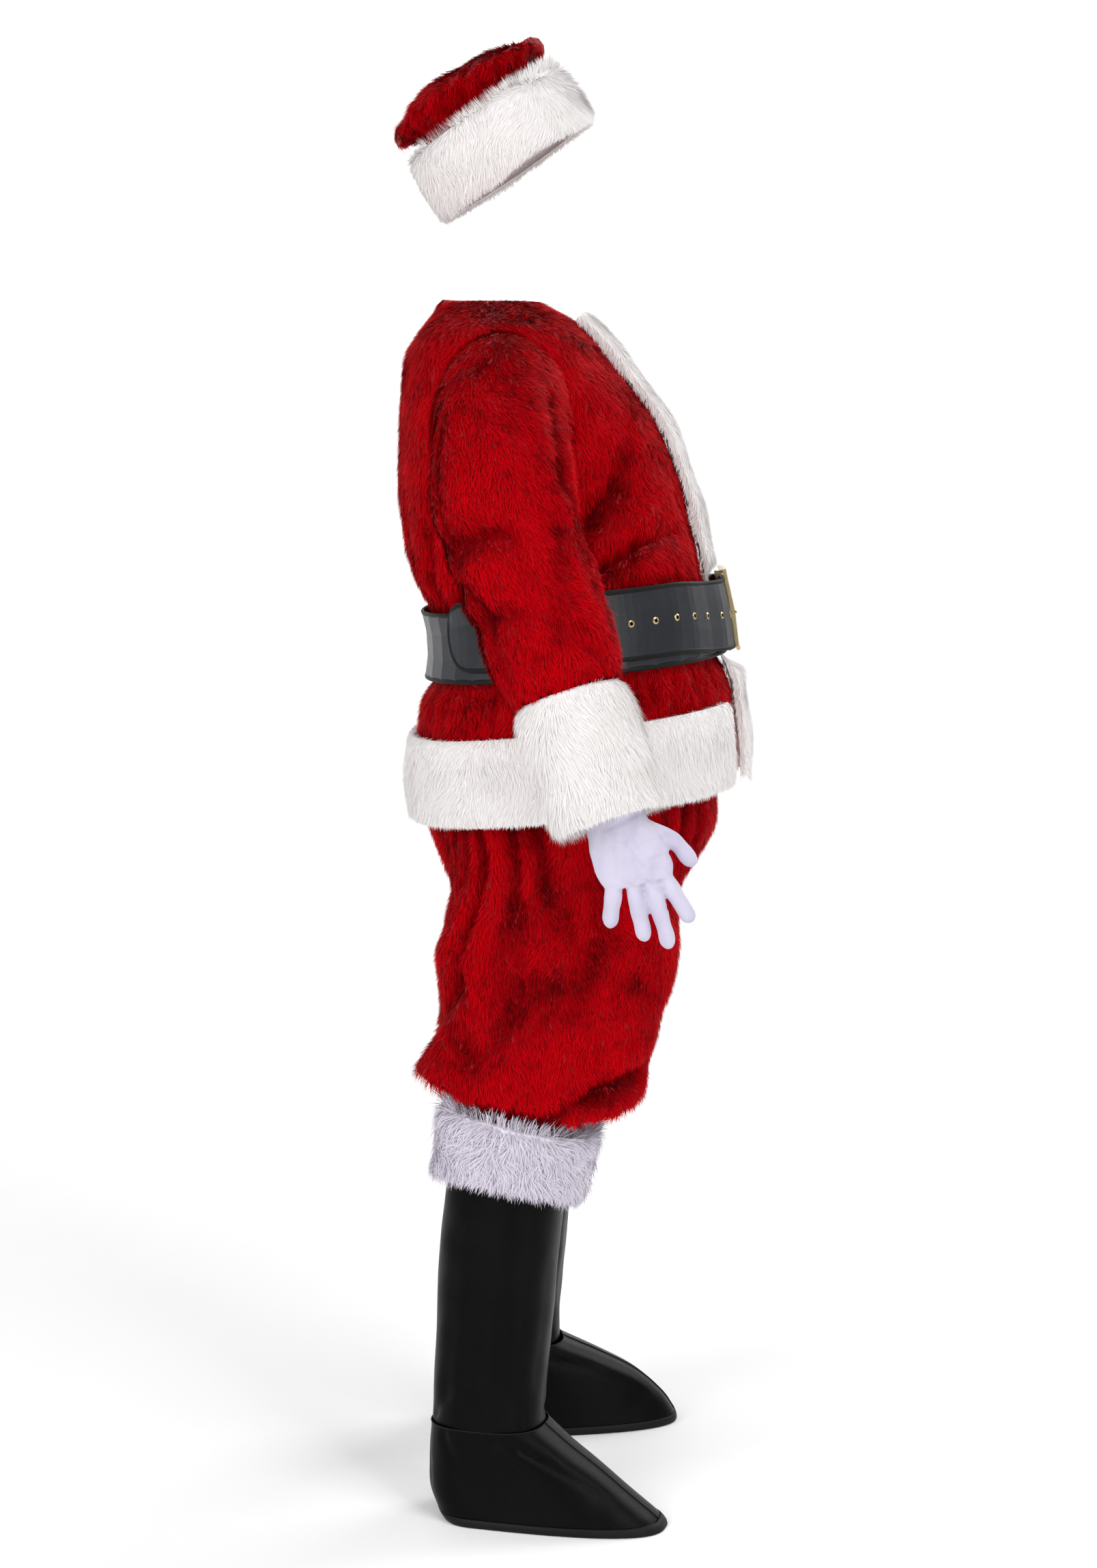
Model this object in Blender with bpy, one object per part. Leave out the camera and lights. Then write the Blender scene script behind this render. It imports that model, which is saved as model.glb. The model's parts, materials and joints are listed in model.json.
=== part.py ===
"""Santa suit, as worn: hat, belted jacket, trousers, boot covers and gloves.

Metres, +Z up.  The suit faces -Y and its right side is at -X.  Heights in the tables are
measured from the floor; the whole suit hangs from an empty that puts the origin between the
shoulders, where the wearer carries it.  Cloth pieces are walls on a few smooth surfaces.
"""
import math
from bisect import bisect_right
from collections import namedtuple

import bpy
from mathutils import Matrix, Vector

# Driving dimensions
GAP = 0.0003                      # between pieces that touch
PLUSH = 0.0065                    # red plush wall
HOLD = Vector((0.0, 0.080, 1.500))  # where the wearer's shoulders carry the suit
SECTION_POWER = 2.3               # squareness of the garment's sections
FACING_GAP = 0.0016               # the neck facing lies this far inside the collar edge
SEAM_ANGLE = 0.05                 # half of a seam's gap on the torso, degrees
LEFT, RIGHT = 1, -1

# Jacket sections: height at y = 0, half width, front, widest line, back, rise to the front
Section = namedtuple("Section", "level half_width front side back rise")
JACKET = (
    Section(0.897, 0.257, -0.294, -0.060, 0.125, 0.12),
    Section(0.950, 0.255, -0.292, -0.060, 0.129, 0.12),
    Section(1.007, 0.248, -0.286, -0.058, 0.126, 0.12),
    Section(1.045, 0.238, -0.277, -0.055, 0.121, 0.10),
    Section(1.070, 0.225, -0.266, -0.052, 0.105, 0.09),
    Section(1.112, 0.222, -0.261, -0.052, 0.103, 0.09),
    Section(1.152, 0.222, -0.252, -0.052, 0.109, 0.09),
    Section(1.172, 0.225, -0.248, -0.050, 0.121, 0.08),
    Section(1.200, 0.224, -0.243, -0.044, 0.133, 0.07),
    Section(1.250, 0.211, -0.232, -0.030, 0.144, 0.05),
    Section(1.300, 0.206, -0.220, -0.015, 0.150, 0.03),
    Section(1.350, 0.207, -0.202, -0.003, 0.149, 0.02),
    Section(1.400, 0.207, -0.178, 0.005, 0.147, 0.01),
    Section(1.445, 0.206, -0.143, 0.010, 0.143, 0.0),
    Section(1.475, 0.202, -0.119, 0.012, 0.137, 0.0),
    Section(1.500, 0.186, -0.098, 0.014, 0.121, 0.0),
    Section(1.520, 0.140, -0.074, 0.020, 0.106, 0.0),
    Section(1.540, 0.082, -0.038, 0.030, 0.095, 0.0),
)
NECK_LEVEL, FACING_LEVEL = 1.540, 1.526
JACKET_LEVELS = (0.897, 0.945, 1.007, 1.045, 1.062, 1.112, 1.160, 1.182, 1.230, 1.283, 1.336,
                 1.389, 1.440, 1.482, 1.513, 1.540)

# Long drag folds of the jacket: start and end angle and level, width, height
Fold = namedtuple("Fold", "angle0 level0 angle1 level1 width height")
DRAG_FOLDS = (
    Fold(306, 1.255, 340, 1.320, 0.020, 0.009),
    Fold(304, 1.215, 332, 1.270, 0.018, 0.006),
    Fold(56, 1.250, 24, 1.310, 0.020, 0.008),
    Fold(57, 1.210, 30, 1.262, 0.018, 0.006),
    Fold(205, 1.200, 222, 1.300, 0.022, 0.007),
    Fold(152, 1.205, 140, 1.310, 0.022, 0.007),
)
METRES_PER_DEGREE = 0.0038

# Armhole: an oval seen from the side
ARMHOLE_Y, ARMHOLE_Z = 0.010, 1.375
ARMHOLE_HALF_DEPTH, ARMHOLE_HALF_HEIGHT = 0.085, 0.115
ARMHOLE_INSIDE, ARMHOLE_OUTSIDE = 0.165, 0.30

# Sleeve rings: place along the arm, centre, angle below horizontal, lean forward, half sizes
Ring = namedtuple("Ring", "place x y z down lean half_width half_depth")
SLEEVE = (
    Ring(0, 0.176, 0.010, 1.375, 0, 0, 0.1144, 0.0844),
    Ring(1, 0.216, 0.010, 1.375, 0, 0, 0.1144, 0.0844),
    Ring(2, 0.262, 0.010, 1.352, 25, 0, 0.100, 0.088),
    Ring(3, 0.290, 0.008, 1.306, 52, 0, 0.082, 0.092),
    Ring(4, 0.303, 0.001, 1.260, 75, 4, 0.070, 0.094),
    Ring(5, 0.310, -0.016, 1.210, 83, 9, 0.068, 0.092),
    Ring(6, 0.316, -0.034, 1.160, 82, 13, 0.069, 0.089),
    Ring(7, 0.322, -0.053, 1.110, 80, 16, 0.070, 0.084),
    Ring(8, 0.329, -0.068, 1.070, 78, 18, 0.064, 0.074),
)
CUFF = (
    Ring(0, 0.3291, -0.0683, 1.0698, 78, 18, 0.070, 0.073),
    Ring(1, 0.337, -0.080, 1.036, 78, 18, 0.074, 0.078),
    Ring(2, 0.350, -0.097, 0.985, 78, 18, 0.074, 0.078),
    Ring(3, 0.362, -0.113, 0.937, 78, 18, 0.073, 0.077),
    Ring(4, 0.367, -0.120, 0.915, 78, 18, 0.069, 0.072),
)
CUFF_WALL = 0.020

# White hem and front trims, measured out from the jacket
HEM_LEVELS = (0.893, 0.907, 0.945, 0.994, 1.007)
HEM_INNER, HEM_OUTER = 0.0006, 0.0165
PLACKET_HALF, TRIM_GAP = 0.047, 0.0008
PLACKET_INNER, PLACKET_OUTER, PLACKET_PRESSED = 0.0012, 0.025, 0.0052
RED_STRIP = 0.092                 # the hem band stops this far right of the centre

# Belt: distances out from the jacket.  The strap starts behind the buckle's bar, goes round
# by the right side, the back and the left side, and laps over itself to a tip at the back.
BELT_LEVEL, TONGUE_LEVEL, BUCKLE_LEVEL = 1.112, 1.127, 1.1155
BELT_HALF, BELT_WALL = 0.045, 0.0030
BELT_INNER, BELT_OVER_TRIM = 0.0036, 0.0075
LAP, LIFT = 0.0045, 0.0122
BAR_ANGLE, TIP_ANGLE, TIP_LENGTH = 357.5, -137.5, 14.0
FLAT_ANGLE, RAMP_ANGLE = 14.0, 30.0
EYELET_FIRST, EYELET_LAST, EYELET_COUNT = -4.6, -66.8, 8
EYELET_HOLE, EYELET_BARREL, EYELET_BORE = 0.0034, 0.0031, 0.0023
EYELET_FLANGE, EYELET_LIP, EYELET_DEPTH = 0.0046, 0.0008, 0.0024
EYELET_SIDES, EYELET_CLEARING, PUNCH_PAST = 8, 1.8, 0.002
EYELET_FLAT, STRAP_FLAT = 1.5, 0.35   # half sizes of the flat round an eyelet: degrees, share

# Buckle: distances out from the jacket at the front
BUCKLE_HALF_WIDTH, BUCKLE_HALF_HEIGHT, BUCKLE_BAR = 0.052, 0.0585, 0.011
BUCKLE_INNER, BUCKLE_OUTER = 0.0235, 0.0280
PIVOT_INNER, PIVOT_OUTER, PIVOT_HALF = 0.0125, 0.0160, 0.0018
PRONG_RUN, PRONG_REST, PRONG_HALF, PRONG_HALF_WIDTH = 0.0172, 0.0292, 0.0007, 0.0014
PRONG_BORE, PRONG_RING, PRONG_RING_HALF, PRONG_RING_SIDES = 0.0030, 0.0040, 0.004, 12
PRONG_START, PRONG_BEND = 0.25, 0.8   # where its run starts, in centimetres, and the share where it rests
PRONG_IN_HOLE = ((0.0012, -0.0050), (0.0, -0.0038), (0.0, 0.0030), (-0.0012, 0.0048))
POST_FLARE, POST_DROP, POST_SINK = 1.5, 0.001, 0.0004
FRONT_UNITS = 100                     # places across the front are counted in centimetres

# Trouser sections: level, rise, torso half width, front, widest line, back, leg centre,
# leg half width, and how far the section has become a separate leg (0 torso, 1 leg)
Leg = namedtuple("Leg", "level rise half_width front side back centre leg_half parted")
LEGS = (
    Leg(0.520, -0.15, 0.19, -0.0870, -0.014, 0.054, 0.149, 0.056, 1.0),
    Leg(0.530, -0.15, 0.20, -0.094, -0.014, 0.0632, 0.149, 0.065, 1.0),
    Leg(0.538, -0.15, 0.22, -0.135, -0.018, 0.085, 0.145, 0.090, 1.0),
    Leg(0.547, -0.13, 0.23, -0.160, -0.022, 0.118, 0.141, 0.106, 1.0),
    Leg(0.562, -0.08, 0.24, -0.174, -0.026, 0.127, 0.138, 0.111, 1.0),
    Leg(0.585, -0.03, 0.24, -0.179, -0.030, 0.119, 0.134, 0.1125, 1.0),
    Leg(0.618, 0.0, 0.24, -0.193, -0.040, 0.104, 0.131, 0.113, 1.0),
    Leg(0.665, 0.0, 0.24, -0.208, -0.050, 0.096, 0.128, 0.117, 1.0),
    Leg(0.720, 0.0, 0.24, -0.216, -0.055, 0.100, 0.124, 0.1225, 1.0),
    Leg(0.750, 0.0, 0.24, -0.228, -0.058, 0.101, 0.123, 0.122, 0.75),
    Leg(0.790, 0.0, 0.24, -0.240, -0.060, 0.102, 0.122, 0.121, 0.35),
    Leg(0.850, 0.0, 0.239, -0.260, -0.062, 0.108, 0.120, 0.119, 0.0),
    Leg(0.910, 0.0, 0.237, -0.270, -0.060, 0.114, 0.118, 0.118, 0.0),
    Leg(1.000, 0.05, 0.226, -0.258, -0.058, 0.106, 0.115, 0.112, 0.0),
    Leg(1.060, 0.09, 0.212, -0.252, -0.052, 0.092, 0.110, 0.105, 0.0),
    Leg(1.110, 0.09, 0.2152, -0.2508, -0.052, 0.0945, 0.110, 0.105, 0.0),
)
LEG_LEVELS = (0.520, 0.530, 0.538, 0.547, 0.566, 0.600, 0.660, 0.720, 0.745, 0.775, 0.830,
              0.910, 1.000, 1.090)
LEFT_LEG_FORWARD, SHIFT_TOP, SHIFT_BOTTOM = 0.0183, 0.80, 0.50
CROTCH_CLEARANCE = 0.0004
WAISTBAND = (1.091, 1.125)

# Boots: centre of the ankle on the floor and toe-out
Boot = namedtuple("Boot", "side x y toe_out instep_share")
BOOTS = (Boot(RIGHT, -0.1648, 0.0285, 16.0, 0.0), Boot(LEFT, 0.1705, 0.0100, 5.0, 1.0))
ShaftRow = namedtuple("ShaftRow", "level half_width half_depth forward inward")
SHAFT = (
    ShaftRow(0.1225, 0.059, 0.0725, 0.000, 0.000),
    ShaftRow(0.170, 0.059, 0.0720, 0.001, 0.001),
    ShaftRow(0.250, 0.062, 0.0735, 0.007, 0.006),
    ShaftRow(0.330, 0.065, 0.0755, 0.012, 0.012),
    ShaftRow(0.440, 0.068, 0.0760, 0.024, 0.019),
    ShaftRow(0.468, 0.068, 0.0760, 0.028, 0.020),
)
BOOT_CUFF = (
    ShaftRow(0.408, 0.0804, 0.0884, 0.0205, 0.017),
    ShaftRow(0.422, 0.091, 0.099, 0.0230, 0.018),
    ShaftRow(0.465, 0.093, 0.103, 0.0310, 0.020),
    ShaftRow(0.517, 0.094, 0.105, 0.0385, 0.021),
    ShaftRow(0.534, 0.085, 0.094, 0.0400, 0.021),
)
BOOT_CUFF_LEVELS = (0.408, 0.422, 0.465, 0.517, 0.534)
BOOT_CUFF_TILT, BOOT_CUFF_RISE = -0.20, 0.028
BOOT_CUFF_WALL, CUFF_MOUTH = 0.0165, 0.0030
FootRow = namedtuple("FootRow", "level instep_low instep_full heel half_width")
FOOT = (
    FootRow(0.0130, 0.222, 0.233, 0.062, 0.068),
    FootRow(0.0380, 0.188, 0.216, 0.0735, 0.064),
    FootRow(0.0720, 0.143, 0.178, 0.0750, 0.060),
    FootRow(0.0960, 0.108, 0.134, 0.0745, 0.059),
    FootRow(0.1220, 0.0745, 0.078, 0.0725, 0.059),
)
SOLE = (
    FootRow(0.0010, 0.232, 0.236, 0.050, 0.069),
    FootRow(0.0112, 0.2235, 0.234, 0.060, 0.068),
)
VINYL, FOOT_POWER = 0.0016, 2.7
BINDING_WALL, BINDING_PROUD, BINDING_LEVELS = 0.0026, 0.0006, (0.0010, 0.0112)
FOOT_LEVELS = (0.0119, 0.0250, 0.0440, 0.0680, 0.0940, 0.1220)
SHAFT_LEVELS = (0.1225, 0.165, 0.230, 0.330, 0.462)

# Gloves: joints of the right hand; the left hand is its mirror
GLOVE_WALL, FINGER = 0.0016, 0.0112
PalmRow = namedtuple("PalmRow", "x y z half_width half_thick")
PALM = (
    PalmRow(-0.358, -0.109, 0.952, 0.0535, 0.0495),
    PalmRow(-0.367, -0.121, 0.936, 0.036, 0.031),
    PalmRow(-0.369, -0.128, 0.912, 0.037, 0.027),
    PalmRow(-0.372, -0.139, 0.888, 0.044, 0.020),
    PalmRow(-0.373, -0.149, 0.862, 0.046, 0.017),
    PalmRow(-0.373, -0.155, 0.846, 0.040, 0.013),
)
PALM_LEAN = 14.0
FINGER_TIP = ((0.0, 1.0), (0.6, 0.8), (0.95, 0.32))   # past the last joint and size, in finger radii
WRIST_PAST = 0.010
FINGERS = {
    "thumb": ((-0.368, -0.160, 0.912), (-0.364, -0.193, 0.896), (-0.360, -0.214, 0.872)),
    "index": ((-0.372, -0.178, 0.866), (-0.371, -0.194, 0.836), (-0.366, -0.212, 0.806)),
    "middle": ((-0.374, -0.161, 0.862), (-0.375, -0.176, 0.818), (-0.369, -0.188, 0.776)),
    "ring": ((-0.374, -0.143, 0.862), (-0.375, -0.152, 0.820), (-0.369, -0.160, 0.784)),
    "little": ((-0.372, -0.125, 0.866), (-0.373, -0.123, 0.830), (-0.368, -0.120, 0.800)),
}

# Hat: band and crown rings; pitch turns the ring's top towards the back, roll towards the left
HatRing = namedtuple("HatRing", "place x y z pitch roll half_width half_depth")
HAT_BAND = (
    HatRing(0, 0.0, -0.009, 1.701, -34, 0, 0.088, 0.112),
    HatRing(1, 0.0, -0.012, 1.696, -34, 0, 0.097, 0.1215),
    HatRing(2, 0.0, 0.014, 1.735, -34, 0, 0.099, 0.124),
    HatRing(3, 0.0, 0.041, 1.776, -34, 0, 0.094, 0.1175),
    HatRing(4, 0.0, 0.043, 1.782, -34, 0, 0.088, 0.110),
)
HAT_BAND_WALL = 0.0237
HAT_CROWN = (
    HatRing(0, 0.0, 0.018, 1.741, -34, 0, 0.074, 0.097),
    HatRing(1, 0.0, 0.043, 1.779, -34, 0, 0.062, 0.083),
    HatRing(2, 0.012, 0.058, 1.805, -33, 8, 0.090, 0.109),
    HatRing(3, 0.058, 0.057, 1.801, -29, 36, 0.066, 0.094),
    HatRing(4, 0.104, 0.052, 1.793, -18, 74, 0.044, 0.066),
    HatRing(5, 0.138, 0.045, 1.784, -10, 115, 0.031, 0.043),
    HatRing(6, 0.155, 0.040, 1.776, -4, 150, 0.021, 0.026),
    HatRing(7, 0.158, 0.038, 1.768, 0, 172, 0.013, 0.014),
    HatRing(8, 0.158, 0.036, 1.763, 0, 180, 0.008, 0.008),
)
CROWN_WALL = 0.005
POMPOM_CENTRE, POMPOM_RADIUS = Vector((0.158, 0.036, 1.7260)), 0.038

Finish = namedtuple("Finish", "colour roughness metallic")
FINISHES = {
    "red_plush": Finish((0.50, 0.010, 0.015), 0.9, 0.0),
    "white_fur": Finish((0.86, 0.83, 0.82), 0.95, 0.0),
    "black_vinyl": Finish((0.012, 0.012, 0.014), 0.3, 0.0),
    "gold_metal": Finish((0.78, 0.56, 0.22), 0.25, 1.0),
    "white_glove": Finish((0.80, 0.78, 0.84), 0.8, 0.0),
}

STEP_ANGLE, STEP_LEVEL = 0.4, 0.002


def clear_scene():
    """Remove every object the file opens with."""
    for item in list(bpy.data.objects):
        bpy.data.objects.remove(item, do_unlink=True)


def make_material(name):
    """A Principled material for one of the suit's finishes."""
    finish = FINISHES[name]
    result = bpy.data.materials.new(name)
    result.use_nodes = True
    shader = result.node_tree.nodes["Principled BSDF"]
    shader.inputs["Base Color"].default_value = (*finish.colour, 1.0)
    shader.inputs["Roughness"].default_value = finish.roughness
    shader.inputs["Metallic"].default_value = finish.metallic
    return result


def signed_volume(points, faces):
    """Volume enclosed by the faces, negative when they point inwards."""
    total = 0.0
    for face in faces:
        first = points[face[0]]
        for second, third in zip(face[1:], face[2:]):
            total += first.dot(points[second].cross(points[third])) / 6.0
    return total


def add_solid(name, points, faces, finish):
    """Add a closed mesh with its faces pointing out, hung from the suit's frame."""
    if signed_volume(points, faces) < 0.0:
        faces = [tuple(reversed(face)) for face in faces]
    mesh = bpy.data.meshes.new(name)
    mesh.from_pydata([tuple(point) for point in points], [], faces)
    mesh.shade_smooth()
    mesh.materials.append(bpy.data.materials[finish])
    item = bpy.data.objects.new(name, mesh)
    bpy.context.collection.objects.link(item)
    item.parent = bpy.data.objects["suit_frame"]
    return item


def as_helper(item):
    """Mark a cutter or a joining shape, which is not part of the suit."""
    item.hide_render = True
    item.display_type = "WIRE"
    return item


def add_boolean(item, tool, operation):
    """Cut an object with a helper, or join the helper to it."""
    modifier = item.modifiers.new(tool.name, "BOOLEAN")
    modifier.operation = operation
    modifier.solver = "EXACT"
    modifier.object = tool


def interpolate(table, key):
    """Read every column of a table smoothly at a value of its first column."""
    keys = [row[0] for row in table]
    last = len(table) - 1
    low = max(0, min(last - 1, bisect_right(keys, key) - 1))
    span = keys[low + 1] - keys[low]
    part = max(0.0, min(1.0, (key - keys[low]) / span))
    square, cube = part * part, part * part * part
    result = []
    for column in range(1, len(table[0])):
        ends = (table[low][column], table[low + 1][column])
        slopes = []
        for index in (low, low + 1):
            before, after = max(0, index - 1), min(last, index + 1)
            rise = table[after][column] - table[before][column]
            slopes.append(span * rise / (keys[after] - keys[before]))
        result.append(ends[0] * (2 * cube - 3 * square + 1) + slopes[0] * (cube - 2 * square + part)
                      + ends[1] * (3 * square - 2 * cube) + slopes[1] * (cube - square))
    return result


def signed_power(value, exponent):
    """Raise a value's size to a power and keep its sign."""
    return math.copysign(abs(value) ** exponent, value)


def rounded(angle, power=SECTION_POWER):
    """Sine and cosine of an angle in degrees, squared off to a superellipse."""
    turn = math.radians(angle)
    return signed_power(math.sin(turn), 2.0 / power), signed_power(math.cos(turn), 2.0 / power)


def spread(start, end, count):
    """Evenly spaced values from start to end."""
    return [start + (end - start) * index / (count - 1) for index in range(count)]


def window(value, flat, edge):
    """1 up to flat, easing down to 0 at edge."""
    part = max(0.0, min(1.0, (edge - abs(value)) / (edge - flat)))
    return part * part * (3.0 - 2.0 * part)


def drag_fold(angle, level):
    """Height of the jacket's long folds at a place."""
    total = 0.0
    for fold in DRAG_FOLDS:
        start = Vector((fold.angle0 * METRES_PER_DEGREE, fold.level0))
        along = Vector((fold.angle1 * METRES_PER_DEGREE, fold.level1)) - start
        place = Vector((angle % 360.0 * METRES_PER_DEGREE, level)) - start
        part = max(0.0, min(1.0, place.dot(along) / along.length_squared))
        across = (place - along * part).length / fold.width
        total += fold.height * math.exp(-across * across) * (1.0 - 0.6 * part)
    return total


def jacket_point(angle, level):
    """A point of the jacket: 0 degrees is the front, 90 the left side, 180 the back."""
    half_width, front, side, back, rise = interpolate(JACKET, level)
    across, along = rounded(angle)
    depth = side - front if along > 0.0 else back - side
    bulge = 1.0 + drag_fold(angle, level) / half_width
    x = half_width * across * bulge
    y = side - depth * along * bulge
    return Vector((x, y, level - rise * y))


def offset_point(surface, u, v, distance, outward):
    """The point a distance out from a surface."""
    along_u = surface(u + STEP_ANGLE, v) - surface(u - STEP_ANGLE, v)
    along_v = surface(u, v + STEP_LEVEL) - surface(u, v - STEP_LEVEL)
    normal = along_u.cross(along_v).normalized() * outward
    return surface(u, v) + normal * distance


def value_at(amount, u, v):
    """An offset, which is either a number or a function of the place."""
    return amount(u, v) if callable(amount) else amount


def add_wall(name, surface, us, vs, outer, inner, finish, closed=False, outward=1, skip=()):
    """A closed wall between two offsets of a surface, without the skipped grid cells."""
    columns = len(us) if closed else len(us) - 1
    cells = [(i, j) for i in range(columns) for j in range(len(vs) - 1) if (i, j) not in skip]
    points, numbers = [], {}

    def vertex(i, j, layer):
        key = (i % len(us), j, layer)
        if key not in numbers:
            u, v = us[key[0]], vs[j]
            distance = value_at(inner if layer else outer, u, v)
            numbers[key] = len(points)
            points.append(offset_point(surface, u, v, distance, outward))
        return numbers[key]

    faces, borders = [], {}
    for i, j in cells:
        corners = ((i, j), (i + 1, j), (i + 1, j + 1), (i, j + 1))
        faces.append(tuple(vertex(*corner, 0) for corner in corners))
        faces.append(tuple(vertex(*corner, 1) for corner in reversed(corners)))
        for start, end in zip(corners, corners[1:] + corners[:1]):
            start, end = (start[0] % len(us), start[1]), (end[0] % len(us), end[1])
            if (end, start) in borders:
                del borders[(end, start)]
            else:
                borders[(start, end)] = True
    for start, end in borders:
        faces.append((vertex(*end, 0), vertex(*start, 0), vertex(*start, 1), vertex(*end, 1)))
    return add_solid(name, points, faces, finish)


def add_loft(name, rings, finish):
    """A closed solid through rings of points, flat at both ends."""
    count = len(rings[0])
    points = [point for ring in rings for point in ring]
    faces = [tuple(reversed(range(count)))]
    faces.append(tuple(range(count * (len(rings) - 1), count * len(rings))))
    for row in range(len(rings) - 1):
        for index in range(count):
            after = (index + 1) % count
            low, high = row * count, (row + 1) * count
            faces.append((low + index, low + after, high + after, high + index))
    return add_solid(name, points, faces, finish)


def build_jacket():
    """Front, back and neckline of the jacket, with round armholes."""
    add_wall("jacket_back", jacket_point, BACK_COLUMNS, JACKET_LEVELS, 0.0, -PLUSH, "red_plush")
    add_wall("jacket_front_left", jacket_point, LEFT_COLUMNS, JACKET_LEVELS,
             0.0, -PLUSH, "red_plush")
    add_wall("jacket_front_right", jacket_point, RIGHT_COLUMNS, JACKET_LEVELS,
             0.0, -PLUSH, "red_plush")
    add_wall("neck_facing", jacket_point, spread(0, 342, 20), (FACING_LEVEL, NECK_LEVEL),
             -PLUSH - FACING_GAP, -PLUSH - FACING_GAP - 0.002, "red_plush", closed=True)
    for side, word in ((RIGHT, "right"), (LEFT, "left")):
        cutter = add_armhole_cutter(side, word)
        add_boolean(bpy.data.objects["jacket_front_" + word], cutter, "DIFFERENCE")
        add_boolean(bpy.data.objects["jacket_back"], cutter, "DIFFERENCE")


def add_armhole_cutter(side, word):
    """An oval bar that cuts one armhole."""
    rings = []
    for x in (ARMHOLE_INSIDE, ARMHOLE_OUTSIDE):
        ring = []
        for angle in ARM_COLUMNS:
            turn = math.radians(angle)
            y = ARMHOLE_Y + ARMHOLE_HALF_DEPTH * math.sin(turn)
            ring.append(Vector((side * x, y, ARMHOLE_Z + ARMHOLE_HALF_HEIGHT * math.cos(turn))))
        rings.append(ring)
    return as_helper(add_loft("armhole_cutter_" + word, rings, "red_plush"))


def arm_surface(table, side):
    """Surface function of a sleeve or cuff: angle round the arm, place along it."""

    def point(angle, place):
        x, y, z, down, lean, half_width, half_depth = interpolate(table, place)
        down, lean, turn = math.radians(down), math.radians(lean), math.radians(angle)
        axis = Vector((math.cos(down), -math.sin(down) * math.sin(lean),
                       -math.sin(down) * math.cos(lean)))
        out = Vector((math.sin(down), 0.0, math.cos(down)))
        out = (out - axis * out.dot(axis)).normalized()
        back = out.cross(axis)
        place_on_ring = out * (half_width * math.cos(turn)) + back * (half_depth * math.sin(turn))
        result = Vector((x, y, z)) + place_on_ring
        return Vector((side * result.x, result.y, result.z))

    return point


def build_sleeves():
    """Both sleeves, set into the armholes, with their fur cuffs."""
    for side, word in ((RIGHT, "right"), (LEFT, "left")):
        outward = side * arm_outward()
        add_wall("sleeve_" + word, arm_surface(SLEEVE, side), ARM_COLUMNS,
                 (0, 1, 1.5, 2, 2.5, 3, 4, 5, 6, 7, 8),
                 0.0, -PLUSH + 0.001, "red_plush", closed=True, outward=outward)
        add_wall("sleeve_cuff_" + word, arm_surface(CUFF, side), ARM_COLUMNS, (0, 1, 2, 3, 4),
                 0.0, -CUFF_WALL, "white_fur", closed=True, outward=outward)


def arm_outward():
    """Which way the left arm's surface normal has to be turned to point out."""
    surface = arm_surface(SLEEVE, LEFT)
    upper, lower = surface(0, 5), surface(180, 5)
    moved = offset_point(surface, 0, 5, PLUSH, 1) - upper
    return 1 if moved.dot(upper - lower) > 0 else -1


def build_trims():
    """Fur band round the hem in three pieces, and the fur down the front edge."""
    strip = 360.0 - angle_at(RED_STRIP)
    right = [angle for angle in RIGHT_COLUMNS if angle < strip] + [strip]
    trim = angle_at(PLACKET_HALF + TRIM_GAP, HEM_LEVELS[-1])
    left = [trim] + [angle for angle in LEFT_COLUMNS if angle > trim + 1.0]
    for name, columns in (("back", BACK_COLUMNS), ("right", right), ("left", left)):
        add_wall("hem_band_" + name, jacket_point, columns, HEM_LEVELS, hem_outer, HEM_INNER,
                 "white_fur")
    add_wall("jacket_placket", placket_point, spread(-1.0, 1.0, 5), JACKET_LEVELS[:-1],
             placket_outer, PLACKET_INNER, "white_fur")


def hem_outer(_, level):
    """How far the hem band stands out: less at its two edges."""
    middle, half = (HEM_LEVELS[0] + HEM_LEVELS[-1]) / 2, (HEM_LEVELS[-1] - HEM_LEVELS[0]) / 2
    return HEM_OUTER * (0.6 + 0.4 * window(level - middle, 0.6 * half, half))


def placket_point(share, level):
    """A point under the front trim: -1 and 1 are its two edges."""
    return jacket_point(angle_at(PLACKET_HALF * share, level), level)


def placket_outer(across, level):
    """How far the front trim stands out: full, thin at its edges, pressed flat by the belt."""
    edge = window(across, 0.5, 1.3)
    pressed = window(level - BELT_LEVEL, BELT_HALF + 0.014, BELT_HALF + 0.034)
    full = PLACKET_OUTER * (0.45 + 0.55 * edge)
    return full + (PLACKET_PRESSED - full) * pressed


def angle_at(x, level=BELT_LEVEL):
    """Angle on the jacket of a point of the front at x from the centre line."""
    half_width = interpolate(JACKET, level)[0]
    turn = math.asin(min(1.0, abs(x) / half_width) ** (SECTION_POWER / 2.0))
    return math.copysign(math.degrees(turn), x)


def front_point(across, level):
    """A point of the jacket's front, across in centimetres from the centre line."""
    return jacket_point(angle_at(across / 100, level), level)


def strap_lift(angle):
    """How much higher the strap runs over the buckle's bar."""
    return LIFT * window(angle, FLAT_ANGLE, RAMP_ANGLE)


def strap_inner(angle, _):
    """Distance of the strap's inner face from the jacket."""
    turn = (angle + 180.0) % 360.0 - 180.0
    base = BELT_INNER + (BELT_OVER_TRIM - BELT_INNER) * window(turn, FLAT_ANGLE, RAMP_ANGLE)
    if angle <= 0.0:
        lift = strap_lift(angle)
        return base + lift + LAP * (1.0 - lift / LIFT)
    return base + (strap_lift(angle) if angle < 90.0 else 0.0)


def strap_outer(angle, across):
    """Distance of the strap's outer face from the jacket."""
    return strap_inner(angle, across) + BELT_WALL


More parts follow.
